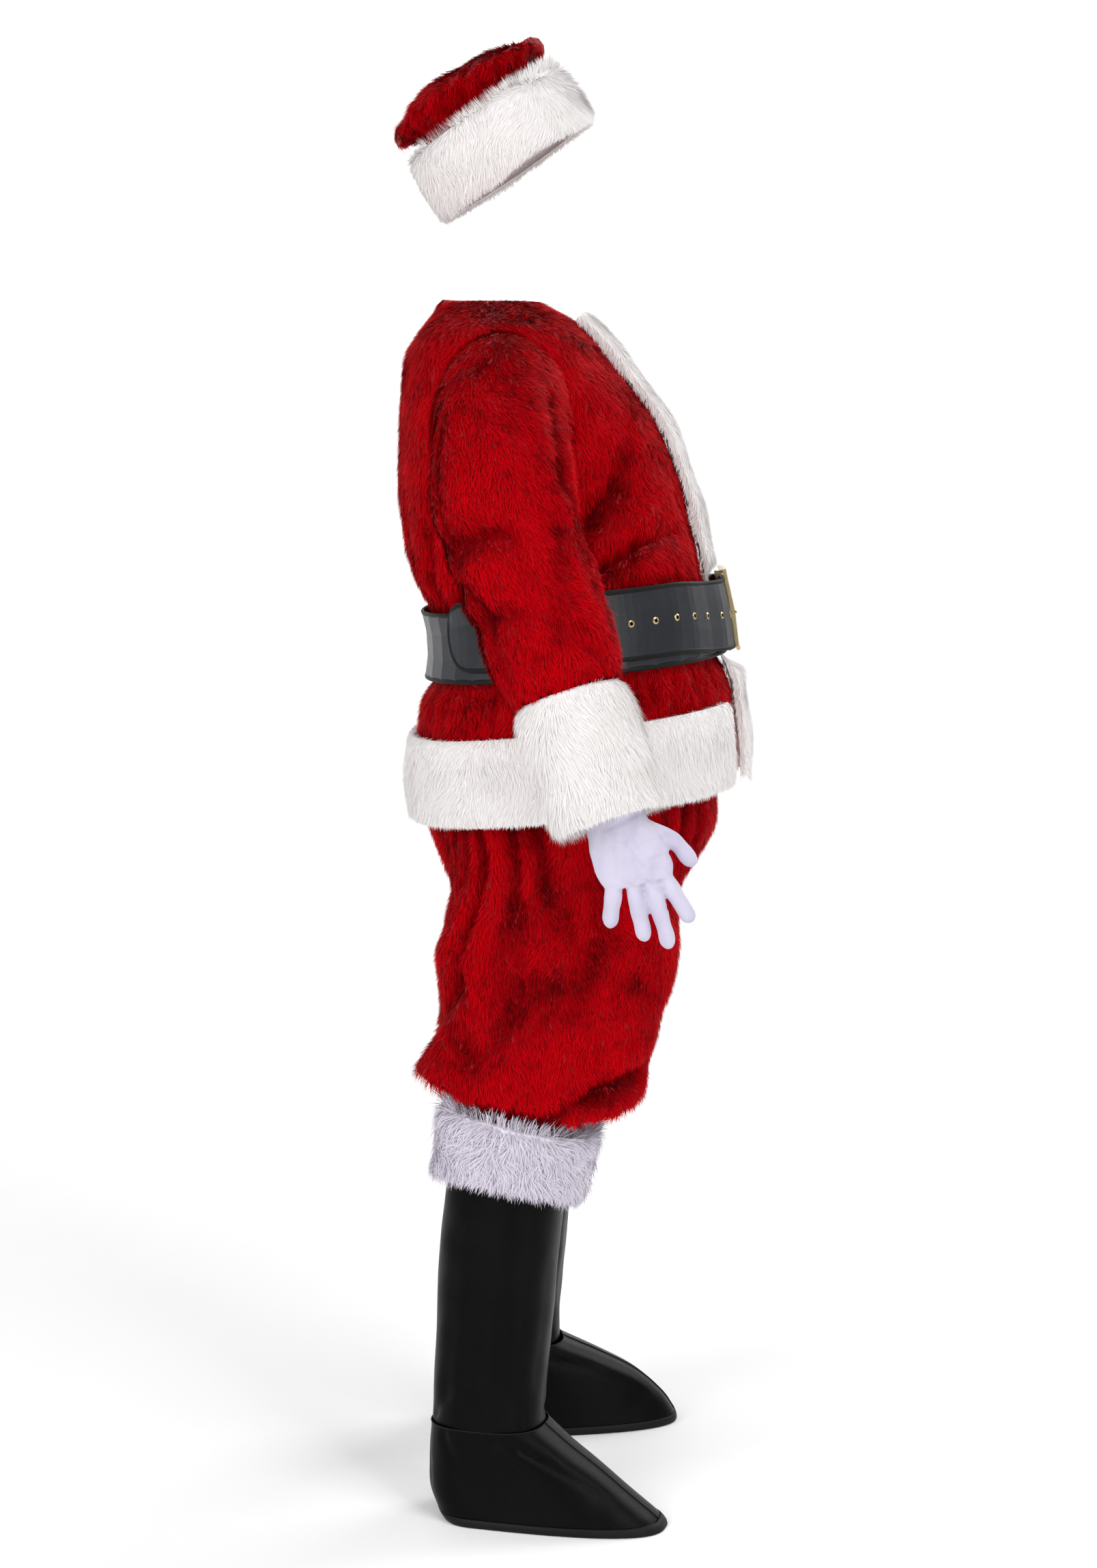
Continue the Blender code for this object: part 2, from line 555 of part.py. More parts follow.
def strap_level(angle):
    """Height of the strap's middle, which climbs along its free end."""
    if angle > 0.0:
        return BELT_LEVEL + (BUCKLE_LEVEL - BELT_LEVEL) * window(angle, 0.0, 60.0)
    return TONGUE_LEVEL + (BUCKLE_LEVEL - TONGUE_LEVEL) * window(angle, 10.0, 50.0)


def strap_point(angle, across):
    """A point of the strap: across runs from -1 at the lower edge to 1 at the upper."""
    past = max(0.0, (TIP_ANGLE + TIP_LENGTH - angle) / TIP_LENGTH)
    half = BELT_HALF * math.sqrt(max(0.01, 1.0 - past ** 2.4))
    return jacket_point(angle, strap_level(angle) + half * across)


def eyelet_angles():
    """Angles of the eyelets, evenly spaced along the strap."""
    fine = spread(EYELET_FIRST, EYELET_LAST, 200)
    places = [strap_point(angle, 0.0) for angle in fine]
    lengths = [0.0]
    for before, after in zip(places, places[1:]):
        lengths.append(lengths[-1] + (after - before).length)
    table = [(length, angle) for length, angle in zip(lengths, fine)]
    return [interpolate(table, step)[0] for step in spread(0.0, lengths[-1], EYELET_COUNT)]


def strap_matrix(angle):
    """Frame on the flat of the strap's outer face round an eyelet: Z points out."""
    corners = []
    for turn in (EYELET_FLAT, -EYELET_FLAT):
        for across in (-STRAP_FLAT, STRAP_FLAT):
            out = strap_outer(angle + turn, across)
            corners.append(offset_point(strap_point, angle + turn, across, out, 1))
    origin = sum(corners, Vector()) / 4.0
    along = (corners[0] + corners[1] - corners[2] - corners[3]).normalized()
    up = corners[1] + corners[3] - corners[0] - corners[2]
    up = (up - along * up.dot(along)).normalized()
    rotation = Matrix((along, up, along.cross(up))).transposed().to_4x4()
    return Matrix.Translation(origin) @ rotation


def turned(profile, matrix, count):
    """Rings of points for a profile of radius and height turned about the frame's Z."""
    rings = []
    for radius, height in profile:
        ring = []
        for angle in spread(0, 360 * (count - 1) / count, count):
            turn = math.radians(angle)
            ring.append(matrix @ Vector((radius * math.cos(turn), radius * math.sin(turn), height)))
        rings.append(ring)
    return rings


def add_turned_ring(name, profile, matrix, count, finish):
    """A closed ring turned from a closed profile."""
    rings = turned(profile, matrix, count)
    points = [point for ring in rings for point in ring]
    faces = []
    for row in range(len(rings)):
        low, high = row * count, (row + 1) % len(rings) * count
        for index in range(count):
            after = (index + 1) % count
            faces.append((low + index, low + after, high + after, high + index))
    return add_solid(name, points, faces, finish)


def build_belt():
    """The strap with its eyelets, and the buckle with its prong."""
    holes = eyelet_angles()
    angles = [angle for angle in STRAP_STATIONS
              if all(abs(angle - hole) > EYELET_CLEARING * EYELET_FLAT for hole in holes)]
    for hole in holes:
        angles += [hole + EYELET_FLAT, hole - EYELET_FLAT]
    angles.sort(reverse=True)
    strap = add_wall("belt_strap", strap_point, angles, (-1.0, -STRAP_FLAT, STRAP_FLAT, 1.0),
                     strap_outer, strap_inner, "black_vinyl")
    lip = EYELET_LIP + GAP
    profile = ((EYELET_BORE, lip), (EYELET_BORE, -EYELET_DEPTH), (EYELET_BARREL, -EYELET_DEPTH),
               (EYELET_BARREL, GAP), (EYELET_FLANGE, GAP), (EYELET_BARREL, lip))
    for number, angle in enumerate(holes, 1):
        matrix = strap_matrix(angle)
        hole = ((EYELET_HOLE, -BELT_WALL - PUNCH_PAST), (EYELET_HOLE, PUNCH_PAST))
        punch = as_helper(add_loft(f"punch_{number}", turned(hole, matrix, EYELET_SIDES), "black_vinyl"))
        add_boolean(strap, punch, "DIFFERENCE")
        add_turned_ring(f"eyelet_{number}", profile, matrix, EYELET_SIDES, "gold_metal")
    build_buckle()


def build_buckle():
    """A rectangular frame curved to the belly, with the bar its prong turns on."""
    half, rail = BUCKLE_HALF_WIDTH * FRONT_UNITS, (BUCKLE_HALF_WIDTH - BUCKLE_BAR) * FRONT_UNITS
    low, high = BUCKLE_LEVEL - BUCKLE_HALF_HEIGHT, BUCKLE_LEVEL + BUCKLE_HALF_HEIGHT
    across = (-half, -rail, -rail / 2, 0.0, rail / 2, rail, half)
    levels = (low, low + BUCKLE_BAR, BUCKLE_LEVEL, high - BUCKLE_BAR, high)
    hole = [(i, j) for i in range(1, 5) for j in (1, 2)]
    frame = add_wall("buckle_frame", front_point, across, levels, BUCKLE_OUTER, BUCKLE_INNER,
                     "gold_metal", skip=hole)
    bar = PIVOT_HALF * FRONT_UNITS
    post = BUCKLE_BAR / 2
    pivot = add_wall("pivot", front_point, (-bar, bar),
                     (low + post / 2, BUCKLE_LEVEL, high - post / 2),
                     PIVOT_OUTER, PIVOT_INNER, "gold_metal")
    add_boolean(frame, as_helper(pivot), "UNION")
    for word, level in (("low", low + post), ("high", high - post)):
        joint = add_wall("post_" + word, front_point, (-bar * POST_FLARE, bar * POST_FLARE),
                         (level - post / 2 - POST_DROP, level + post / 2 - POST_DROP),
                         (BUCKLE_INNER + BUCKLE_OUTER) / 2, PIVOT_INNER - POST_SINK, "gold_metal")
        add_boolean(frame, as_helper(joint), "UNION")
    build_prong()


def build_prong():
    """The prong: a ring on the bar, a run under the strap, up an eyelet and over the frame."""
    first = eyelet_angles()[0]
    hole = strap_matrix(first)
    level, reach = BUCKLE_LEVEL, BUCKLE_HALF_WIDTH * FRONT_UNITS - PRONG_START
    path = (offset_point(front_point, PRONG_START, level, PRONG_RUN, 1),
            *(hole @ Vector((along, 0.0, height)) for along, height in PRONG_IN_HOLE),
            offset_point(front_point, -PRONG_BEND * reach, level, PRONG_REST, 1),
            offset_point(front_point, -reach, level, PRONG_REST, 1))
    up = (front_point(0.0, level + 0.01) - front_point(0.0, level - 0.01)).normalized()
    rings = []
    for index, place in enumerate(path):
        ahead = path[min(len(path) - 1, index + 1)] - path[max(0, index - 1)]
        thick = ahead.normalized().cross(up) * PRONG_HALF
        wide = up * PRONG_HALF_WIDTH
        rings.append([place + thick + wide, place + thick - wide,
                      place - thick - wide, place - thick + wide])
    prong = add_loft("buckle_prong", rings, "gold_metal")
    centre = offset_point(front_point, 0.0, level, (PIVOT_INNER + PIVOT_OUTER) / 2, 1)
    matrix = Matrix.Translation(centre) @ up.to_track_quat("Z", "Y").to_matrix().to_4x4()
    profile = ((PRONG_BORE, -PRONG_RING_HALF), (PRONG_RING, -PRONG_RING_HALF),
               (PRONG_RING, PRONG_RING_HALF), (PRONG_BORE, PRONG_RING_HALF))
    ring = add_turned_ring("prong_ring", profile, matrix, PRONG_RING_SIDES, "gold_metal")
    add_boolean(prong, as_helper(ring), "UNION")


def leg_surface(side, back_panel):
    """Surface function of one trouser panel: 0 at the inner seam, 90 at the outer seam."""

    def point(across, level):
        rise, half, front, side_y, back, centre, leg_half, parted = interpolate(LEGS, level)
        depth = back - side_y if back_panel else front - side_y
        sine, cosine = rounded(across)
        torso = Vector((half * sine, side_y + depth * cosine, 0.0))
        sine, cosine = rounded(2.0 * across - 90.0)
        leg = Vector((centre + leg_half * sine, side_y + depth * abs(cosine), 0.0))
        if across <= 0.0 or across >= 90.0:
            leg.y = side_y + depth * cosine
        result = torso.lerp(leg, parted)
        if side == LEFT:
            low = max(0.0, (SHIFT_TOP - level) / (SHIFT_TOP - SHIFT_BOTTOM))
            result.y -= LEFT_LEG_FORWARD * (1.0 - window(low, 0.0, 1.0))
        return Vector((side * result.x, result.y, level - rise * result.y))

    return point


def build_trousers():
    """Two front and two back panels that meet at the crotch, and the waistband."""
    seam = SEAM_ANGLE
    across = [seam] + spread(11, 79, 7) + [90 - seam]
    for side, word in ((RIGHT, "right"), (LEFT, "left")):
        for back_panel, name in ((False, "trousers_front_"), (True, "trousers_back_")):
            turn = side * (-1 if back_panel else 1)
            panel = add_wall(name + word, leg_surface(side, back_panel), across, LEG_LEVELS,
                             0.0, -PLUSH + 0.001, "red_plush", outward=turn)
            for vertex in panel.data.vertices:
                clear = max(side * vertex.co.x, CROTCH_CLEARANCE)
                vertex.co.x = side * clear
    around = spread(0, 342, 20)

    def waist(angle, level):
        rise, half, front, side_y, back, _, _, _ = interpolate(LEGS, level)
        sine, cosine = rounded(angle)
        y = side_y - (side_y - front if cosine > 0.0 else back - side_y) * cosine
        return Vector((half * sine, y, level - rise * y))

    add_wall("waistband", waist, around, WAISTBAND, 0.0, -0.004, "red_plush", closed=True)


def boot_place(boot, angle, forward, back, half_width, level, shift, inward, power):
    """A point of a boot from its section, turned out with the foot."""
    turn = math.radians(boot.toe_out)
    ahead = Vector((boot.side * math.sin(turn), -math.cos(turn), 0.0))
    beside = Vector((math.cos(turn), boot.side * math.sin(turn), 0.0))
    sine, cosine = rounded(angle, power)
    along = (forward if cosine > 0.0 else back) * cosine
    result = Vector((boot.x, boot.y, level)) + ahead * along + beside * (half_width * sine)
    result.x -= boot.side * inward
    result.y -= shift
    return result


def shaft_surface(boot, table, tilt=0.0, rise=0.0):
    """Surface function of a boot's shaft, or of its fur cuff, which is higher at the back
    and whose lower edge rises on the outer side."""

    def point(angle, level):
        half_width, half_depth, shift, inward = interpolate(table, level)
        result = boot_place(boot, angle, half_depth, half_depth, half_width, level, shift,
                            inward, SECTION_POWER)
        share = window(level - table[0].level, 0.0, table[-1].level - table[0].level)
        outer = max(0.0, 1.0 + boot.side * (result.x - boot.x) / table[-1].half_width) / 2
        result.z += rise * outer * outer * share - tilt * (result.y - boot.y)
        return result

    return point


def foot_surface(boot, table):
    """Surface function of a boot's foot."""

    def point(angle, level):
        low, full, heel, half_width = interpolate(table, level)
        forward = low + (full - low) * boot.instep_share
        return boot_place(boot, angle, forward, heel, half_width, level, 0.0, 0.0, FOOT_POWER)

    return point


def build_boots():
    """Each boot: fur cuff, shaft, two foot panels and the binding round the open sole."""
    around = spread(0, 337.5, 16)
    seam = SEAM_ANGLE
    for boot in BOOTS:
        word = "right" if boot.side == RIGHT else "left"
        add_wall("boot_cuff_" + word, shaft_surface(boot, BOOT_CUFF, BOOT_CUFF_TILT, BOOT_CUFF_RISE), around,
                 BOOT_CUFF_LEVELS, 0.0, cuff_inner, "white_fur", closed=True)
        add_wall("boot_shaft_" + word, shaft_surface(boot, SHAFT), around,
                 SHAFT_LEVELS, 0.0, -VINYL, "black_vinyl", closed=True)
        for name, start in (("boot_panel_left_side_", 0.0), ("boot_panel_right_side_", 180.0)):
            sides = [start + seam] + spread(start + 17, start + 163, 7) + [start + 180 - seam]
            add_wall(name + word, foot_surface(boot, FOOT), sides, FOOT_LEVELS, 0.0, -VINYL,
                     "black_vinyl")
        add_wall("boot_binding_" + word, foot_surface(boot, SOLE), spread(0, 342, 20),
                 BINDING_LEVELS, BINDING_PROUD, BINDING_PROUD - BINDING_WALL, "black_vinyl", closed=True)


def cuff_inner(_, level):
    """The boot cuff's inner face, which clears the shaft."""
    return -BOOT_CUFF_WALL + CUFF_MOUTH * window(level - BOOT_CUFF_LEVELS[0], 0.010, 0.045)


def palm_rings(shrink, extra):
    """Rings of the palm, smaller by the glove's wall for its hollow."""
    rings = []
    lean = math.radians(PALM_LEAN)
    for index, row in enumerate(PALM):
        centre = Vector((row.x, row.y, row.z + (extra if index == 0 else 0.0)))
        if index == len(PALM) - 1:
            centre.z += shrink
        across = Vector((0.0, math.cos(lean), -math.sin(lean)))
        ring = []
        for angle in spread(0, 330, 12):
            sine, cosine = rounded(angle)
            ring.append(centre + across * ((row.half_width - shrink) * cosine)
                        + Vector(((row.half_thick - shrink) * sine, 0.0, 0.0)))
        rings.append(ring)
    return rings


def finger_rings(joints, radius):
    """Rings of one finger with a round tip."""
    places = [Vector(joint) for joint in joints]
    ahead = (places[-1] - places[-2]).normalized()
    rows = [(places[0], radius), (places[1], radius)]
    rows += [(places[-1] + ahead * radius * past, radius * size) for past, size in FINGER_TIP]
    rings = []
    for index, (centre, size) in enumerate(rows):
        along = rows[min(index + 1, len(rows) - 1)][0] - rows[max(index - 1, 0)][0]
        turn = along.normalized().to_track_quat("Z", "X").to_matrix()
        ring = []
        for angle in spread(0, 300, 6):
            part = math.radians(angle)
            ring.append(centre + turn @ Vector((size * math.cos(part), size * math.sin(part), 0)))
        rings.append(ring)
    return rings


def mirrored(rings, side):
    """The same rings for the right hand, or mirrored for the left."""
    return [[Vector((-side * point.x, point.y, point.z)) for point in ring] for ring in rings]


def build_gloves():
    """Hollow gloves with five fingers, open at the wrist."""
    for side, word in ((RIGHT, "right"), (LEFT, "left")):
        glove = add_loft("glove_" + word, mirrored(palm_rings(0.0, 0.0), side), "white_glove")
        for finger, joints in FINGERS.items():
            rings = mirrored(finger_rings(joints, FINGER), side)
            helper = as_helper(add_loft(f"{finger}_{word}", rings, "white_glove"))
            add_boolean(glove, helper, "UNION")
        hollow = mirrored(palm_rings(GLOVE_WALL, WRIST_PAST), side)
        add_boolean(glove, as_helper(add_loft("palm_hollow_" + word, hollow, "white_glove")),
                    "DIFFERENCE")
        for finger, joints in FINGERS.items():
            rings = mirrored(finger_rings(joints, FINGER - GLOVE_WALL), side)
            helper = as_helper(add_loft(f"{finger}_hollow_{word}", rings, "white_glove"))
            add_boolean(glove, helper, "DIFFERENCE")


def hat_surface(table):
    """Surface function of the hat's band or crown: angle round the head, place along it."""

    def point(angle, place):
        x, y, z, pitch, roll, half_width, half_depth = interpolate(table, place)
        turn = math.radians(angle)
        flat = Vector((half_width * math.sin(turn), -half_depth * math.cos(turn), 0.0))
        frame = (Matrix.Rotation(math.radians(roll), 3, "Y")
                 @ Matrix.Rotation(math.radians(pitch), 3, "X"))
        return Vector((x, y, z)) + frame @ flat

    return point


def build_hat():
    """The hat: a fur band, a soft crown that falls to the left, and its pompom."""
    around = spread(0, 342, 20)
    add_wall("hat_band", hat_surface(HAT_BAND), around, (0, 1, 2, 3, 4), 0.0,
             -HAT_BAND_WALL, "white_fur", closed=True)
    add_wall("hat_crown", hat_surface(HAT_CROWN), around, (0, 1, 2, 2.5, 3, 4, 5, 6, 7, 8),
             0.0, -CROWN_WALL, "red_plush", closed=True)
    rings = []
    for angle in spread(-75, 75, 7):
        turn = math.radians(angle)
        matrix = Matrix.Translation(POMPOM_CENTRE)
        profile = ((POMPOM_RADIUS * math.cos(turn), POMPOM_RADIUS * math.sin(turn)),)
        rings += turned(profile, matrix, 12)
    add_loft("hat_pompom", rings, "white_fur")


def main():
    """Build the whole suit."""
    clear_scene()
    for name in FINISHES:
        make_material(name)
    frame = bpy.data.objects.new("suit_frame", None)
    bpy.context.collection.objects.link(frame)
    frame.location = -HOLD
    build_hat()
    build_jacket()
    build_sleeves()
    build_trims()
    build_belt()
    build_trousers()
    build_boots()
    build_gloves()


# Angles of the strap's sections, closer together at the buckle and the tip.
STRAP_STATIONS = (spread(BAR_ANGLE, 38.0, 30) + spread(30.0, -30.0, 12) + spread(-38.0, -120.0, 11)
                  + [-126.0, -130.5, -134.0, -136.2, TIP_ANGLE])
BACK_COLUMNS = spread(90 + SEAM_ANGLE, 270 - SEAM_ANGLE, 23)
LEFT_COLUMNS = spread(SEAM_ANGLE, 90 - SEAM_ANGLE, 13)
RIGHT_COLUMNS = spread(270 + SEAM_ANGLE, 360 - SEAM_ANGLE, 13)
ARM_COLUMNS = spread(0, 340, 18)

main()
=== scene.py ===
"""Santa suit on a pale floor: hat, belted jacket, trousers, boot covers and gloves.

Metres, +Z up.  The wearer faces -Y and the suit's right side is at -X.  Heights in the tables
are measured from the floor; HOLD is the point between the shoulders where the frame begins.
"""
from __future__ import annotations

import json
import logging
import math
from dataclasses import dataclass, field, replace
from enum import Enum
from typing import Callable, NamedTuple, Sequence

import bmesh
import bpy
import numpy as np
from mathutils import Matrix, Vector

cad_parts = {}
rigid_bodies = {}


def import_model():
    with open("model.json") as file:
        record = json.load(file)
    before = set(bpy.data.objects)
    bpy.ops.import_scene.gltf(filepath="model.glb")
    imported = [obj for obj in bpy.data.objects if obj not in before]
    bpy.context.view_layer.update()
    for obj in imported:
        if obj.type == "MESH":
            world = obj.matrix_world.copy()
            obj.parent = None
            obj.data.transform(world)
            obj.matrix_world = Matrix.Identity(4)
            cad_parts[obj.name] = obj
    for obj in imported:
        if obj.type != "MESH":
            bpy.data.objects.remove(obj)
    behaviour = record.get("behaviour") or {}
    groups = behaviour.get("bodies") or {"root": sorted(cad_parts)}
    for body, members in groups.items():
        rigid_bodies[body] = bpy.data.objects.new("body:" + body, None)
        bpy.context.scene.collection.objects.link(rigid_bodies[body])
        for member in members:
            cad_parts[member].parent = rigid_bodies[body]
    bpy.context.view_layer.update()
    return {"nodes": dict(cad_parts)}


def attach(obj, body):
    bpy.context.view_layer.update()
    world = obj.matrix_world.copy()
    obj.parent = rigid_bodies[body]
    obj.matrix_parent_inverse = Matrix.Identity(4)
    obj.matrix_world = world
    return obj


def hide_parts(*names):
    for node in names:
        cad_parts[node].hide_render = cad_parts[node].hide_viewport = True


LOG = logging.getLogger("suit")
HOLD = np.array((0.0, 0.080, 1.500))
BODY = "root"
SECTION_POWER = 2.3
# The middle of the belt, how much it rises for each metre forward, and how far the ground of the
# red plush lies below the tips of its tufts.
BELT_LEVEL = 1.112
BELT_SLOPE = 0.09
PLUSH_DEPTH = 0.0072
Array = np.ndarray
Colour = tuple[float, float, float]


class Side(Enum):
    """The wearer's left or right; the value is the sign of X there."""

    LEFT = 1
    RIGHT = -1

    @property
    def word(self) -> str:
        """The side's name as the frame's nodes write it."""
        return self.name.lower()


# --------------------------------------------------------------------------- numbers


class Table:
    """Rows of numbers, read smoothly at any value of their first column."""

    def __init__(self, rows: Sequence[Sequence[float]]) -> None:
        """Keep the rows as one array."""
        self.rows = np.array([[float(value) for value in row] for row in rows])

    def at(self, key: Array | float) -> Array:
        """Every other column at a key.

        Args:
            key: Values of the first column, of any shape.

        Returns:
            An array whose first axis is the column.
        """
        keys, values = self.rows[:, 0], self.rows[:, 1:]
        key = np.asarray(key, float)
        last = len(keys) - 1
        low = np.clip(np.searchsorted(keys, key, side="right") - 1, 0, last - 1)
        span = keys[low + 1] - keys[low]
        part = np.clip((key - keys[low]) / span, 0.0, 1.0)
        before, after = np.maximum(np.arange(last + 1) - 1, 0), np.minimum(np.arange(last + 1) + 1, last)
        slope = (values[after] - values[before]) / (keys[after] - keys[before])[:, None]
        s2, s3 = part * part, part ** 3
        weights = (2 * s3 - 3 * s2 + 1, (s3 - 2 * s2 + part) * span, 3 * s2 - 2 * s3, (s3 - s2) * span)
        parts = (values[low], slope[low], values[low + 1], slope[low + 1])
        return np.moveaxis(sum(w[..., None] * p for w, p in zip(weights, parts)), -1, 0)


def smooth_step(value: Array | float, start: float, end: float) -> Array:
    """0 before start, 1 after end, and a smooth rise between them."""
    part = np.clip((np.asarray(value, float) - start) / (end - start), 0.0, 1.0)
    return part * part * (3.0 - 2.0 * part)


def window(value: Array | float, flat: float, edge: float) -> Array:
    """1 where the value's size is up to flat, easing down to 0 at edge."""
    return 1.0 - smooth_step(np.abs(value), flat, edge)


def rounded(angle: Array | float, power: float = SECTION_POWER) -> tuple[Array, Array]:
    """Sine and cosine of an angle in degrees, squared off to a superellipse."""
    turn = np.radians(np.asarray(angle, float))
    sine, cosine = np.sin(turn), np.cos(turn)
    return (np.sign(sine) * np.abs(sine) ** (2.0 / power),
            np.sign(cosine) * np.abs(cosine) ** (2.0 / power))


def unit(vectors: Array) -> Array:
    """The vectors at length 1."""
    return vectors / np.maximum(np.linalg.norm(vectors, axis=-1, keepdims=True), 1e-12)


def vector(x: Array | float, y: Array | float, z: Array | float) -> Array:
    """Points from three coordinates, each a number or an array."""
    return np.stack(np.broadcast_arrays(*(np.asarray(c, float) for c in (x, y, z))), -1)


def ripple(points: Array, scale: float, seed: int) -> Array:
    """A smooth uneven value from about -1 to 1 at each point.

    Args:
        points: Places, with the coordinate on the last axis.
        scale: Size of the unevenness in metres.
        seed: Which pattern.

    Returns:
        One value for each point.
    """
    draw = np.random.default_rng(seed)
    total = np.zeros(points.shape[:-1])
    for step in range(5):
        wave = unit(draw.normal(size=3)) * 2 * math.pi / (scale * draw.uniform(0.7, 1.5))
        total += np.sin(points @ wave + draw.uniform(0, 2 * math.pi))
    return total / 3.2


# --------------------------------------------------------------------------- surfaces


class Surface:
    """A smooth surface with two coordinates, and a distance out from it."""

    outward: float = 1.0
    step_u: float = 0.4
    step_v: float = 0.002
    u_range: tuple[float, float] = (-math.inf, math.inf)

    def point(self, u: Array, v: Array) -> Array:
        """Points of the surface, measured from the floor."""
        raise NotImplementedError

    def offset(self, u: Array, v: Array, out: Array | float) -> Array:
        """Points a distance out from the surface.

        Args:
            u: First coordinate.
            v: Second coordinate.
            out: Distance outwards.

        Returns:
            Points measured from the floor.
        """
        low, high = self.u_range
        along = (self.point(np.minimum(u + self.step_u, high), v)
                 - self.point(np.maximum(u - self.step_u, low), v))
        across = self.point(u, v + self.step_v) - self.point(u, v - self.step_v)
        normal = unit(np.cross(along, across)) * self.outward
        return self.point(u, v) + normal * np.asarray(out, float)[..., None]


class Ridge(NamedTuple):
    """A soft ridge, or a trough where its height is negative, along a line on a surface."""

    u0: float
    v0: float
    u1: float
    v1: float
    width: float
    height: float


def ridges(u: Array, v: Array, rows: Sequence[Ridge], u_metres: float, v_metres: float) -> Array:
    """Total height of the ridges at places of a surface.

    Args:
        u: First coordinate, in degrees.
        v: Second coordinate.
        rows: The ridges.
        u_metres: Metres in one unit of u.
        v_metres: Metres in one unit of v.

    Returns:
        Heights out from the surface.
    """
    total = np.zeros(np.broadcast(u, v).shape)
    for row in rows:
        run = np.array(((row.u1 - row.u0) * u_metres, (row.v1 - row.v0) * v_metres))
        du = (u - row.u0 + 180.0) % 360.0 - 180.0
        place = np.stack(np.broadcast_arrays(du * u_metres, (v - row.v0) * v_metres), -1)
        part = np.clip(place @ run / (run @ run), 0.0, 1.0)
        gap = np.linalg.norm(place - part[..., None] * run, axis=-1) / row.width
        total += row.height * np.exp(-gap * gap) * (1.0 - 0.55 * part)
    return total


JACKET = Table((
    # level, half width, front, widest line, back, rise to the front
    (0.897, 0.257, -0.294, -0.060, 0.125, 0.12),
    (0.950, 0.255, -0.292, -0.060, 0.129, 0.12),
    (1.007, 0.248, -0.286, -0.058, 0.126, 0.12),
    (1.045, 0.238, -0.277, -0.055, 0.121, 0.10),
    (1.070, 0.225, -0.266, -0.052, 0.105, 0.09),
    (1.112, 0.222, -0.261, -0.052, 0.103, 0.09),
    (1.152, 0.222, -0.252, -0.052, 0.109, 0.09),
    (1.172, 0.225, -0.248, -0.050, 0.121, 0.08),
    (1.200, 0.224, -0.243, -0.044, 0.133, 0.07),
    (1.250, 0.211, -0.232, -0.030, 0.144, 0.05),
    (1.300, 0.206, -0.220, -0.015, 0.150, 0.03),
    (1.350, 0.207, -0.202, -0.003, 0.149, 0.02),
    (1.400, 0.207, -0.178, 0.005, 0.147, 0.01),
    (1.445, 0.206, -0.143, 0.010, 0.143, 0.0),
    (1.475, 0.202, -0.119, 0.012, 0.137, 0.0),
    (1.500, 0.186, -0.098, 0.014, 0.121, 0.0),
    (1.520, 0.140, -0.074, 0.020, 0.106, 0.0),
    (1.540, 0.082, -0.038, 0.030, 0.095, 0.0)))
DRAG_FOLDS = (
    Ridge(306, 1.255, 340, 1.320, 0.020, 0.009), Ridge(304, 1.215, 332, 1.270, 0.018, 0.006),
    Ridge(56, 1.250, 24, 1.310, 0.020, 0.008), Ridge(57, 1.210, 30, 1.262, 0.018, 0.006),
    Ridge(205, 1.200, 222, 1.300, 0.022, 0.007), Ridge(152, 1.205, 140, 1.310, 0.022, 0.007))
SLEEVE = Table((
    # place along the arm, centre, angle below horizontal, lean forward, half sizes
    (0, 0.176, 0.010, 1.375, 0, 0, 0.1144, 0.0844),
    (1, 0.216, 0.010, 1.375, 0, 0, 0.1144, 0.0844),
    (2, 0.262, 0.010, 1.352, 25, 0, 0.100, 0.088),
    (3, 0.290, 0.008, 1.306, 52, 0, 0.082, 0.092),
    (4, 0.303, 0.001, 1.260, 75, 4, 0.070, 0.094),
    (5, 0.310, -0.016, 1.210, 83, 9, 0.068, 0.092),
    (6, 0.316, -0.034, 1.160, 82, 13, 0.069, 0.089),
    (7, 0.322, -0.053, 1.110, 80, 16, 0.070, 0.084),
    (8, 0.329, -0.068, 1.070, 78, 18, 0.064, 0.074)))
CUFF = Table((
    (0, 0.3291, -0.0683, 1.0698, 78, 18, 0.070, 0.073),
    (1, 0.337, -0.080, 1.036, 78, 18, 0.074, 0.078),
    (2, 0.350, -0.097, 0.985, 78, 18, 0.074, 0.078),
    (3, 0.362, -0.113, 0.937, 78, 18, 0.073, 0.077),
    (4, 0.367, -0.120, 0.915, 78, 18, 0.069, 0.072)))
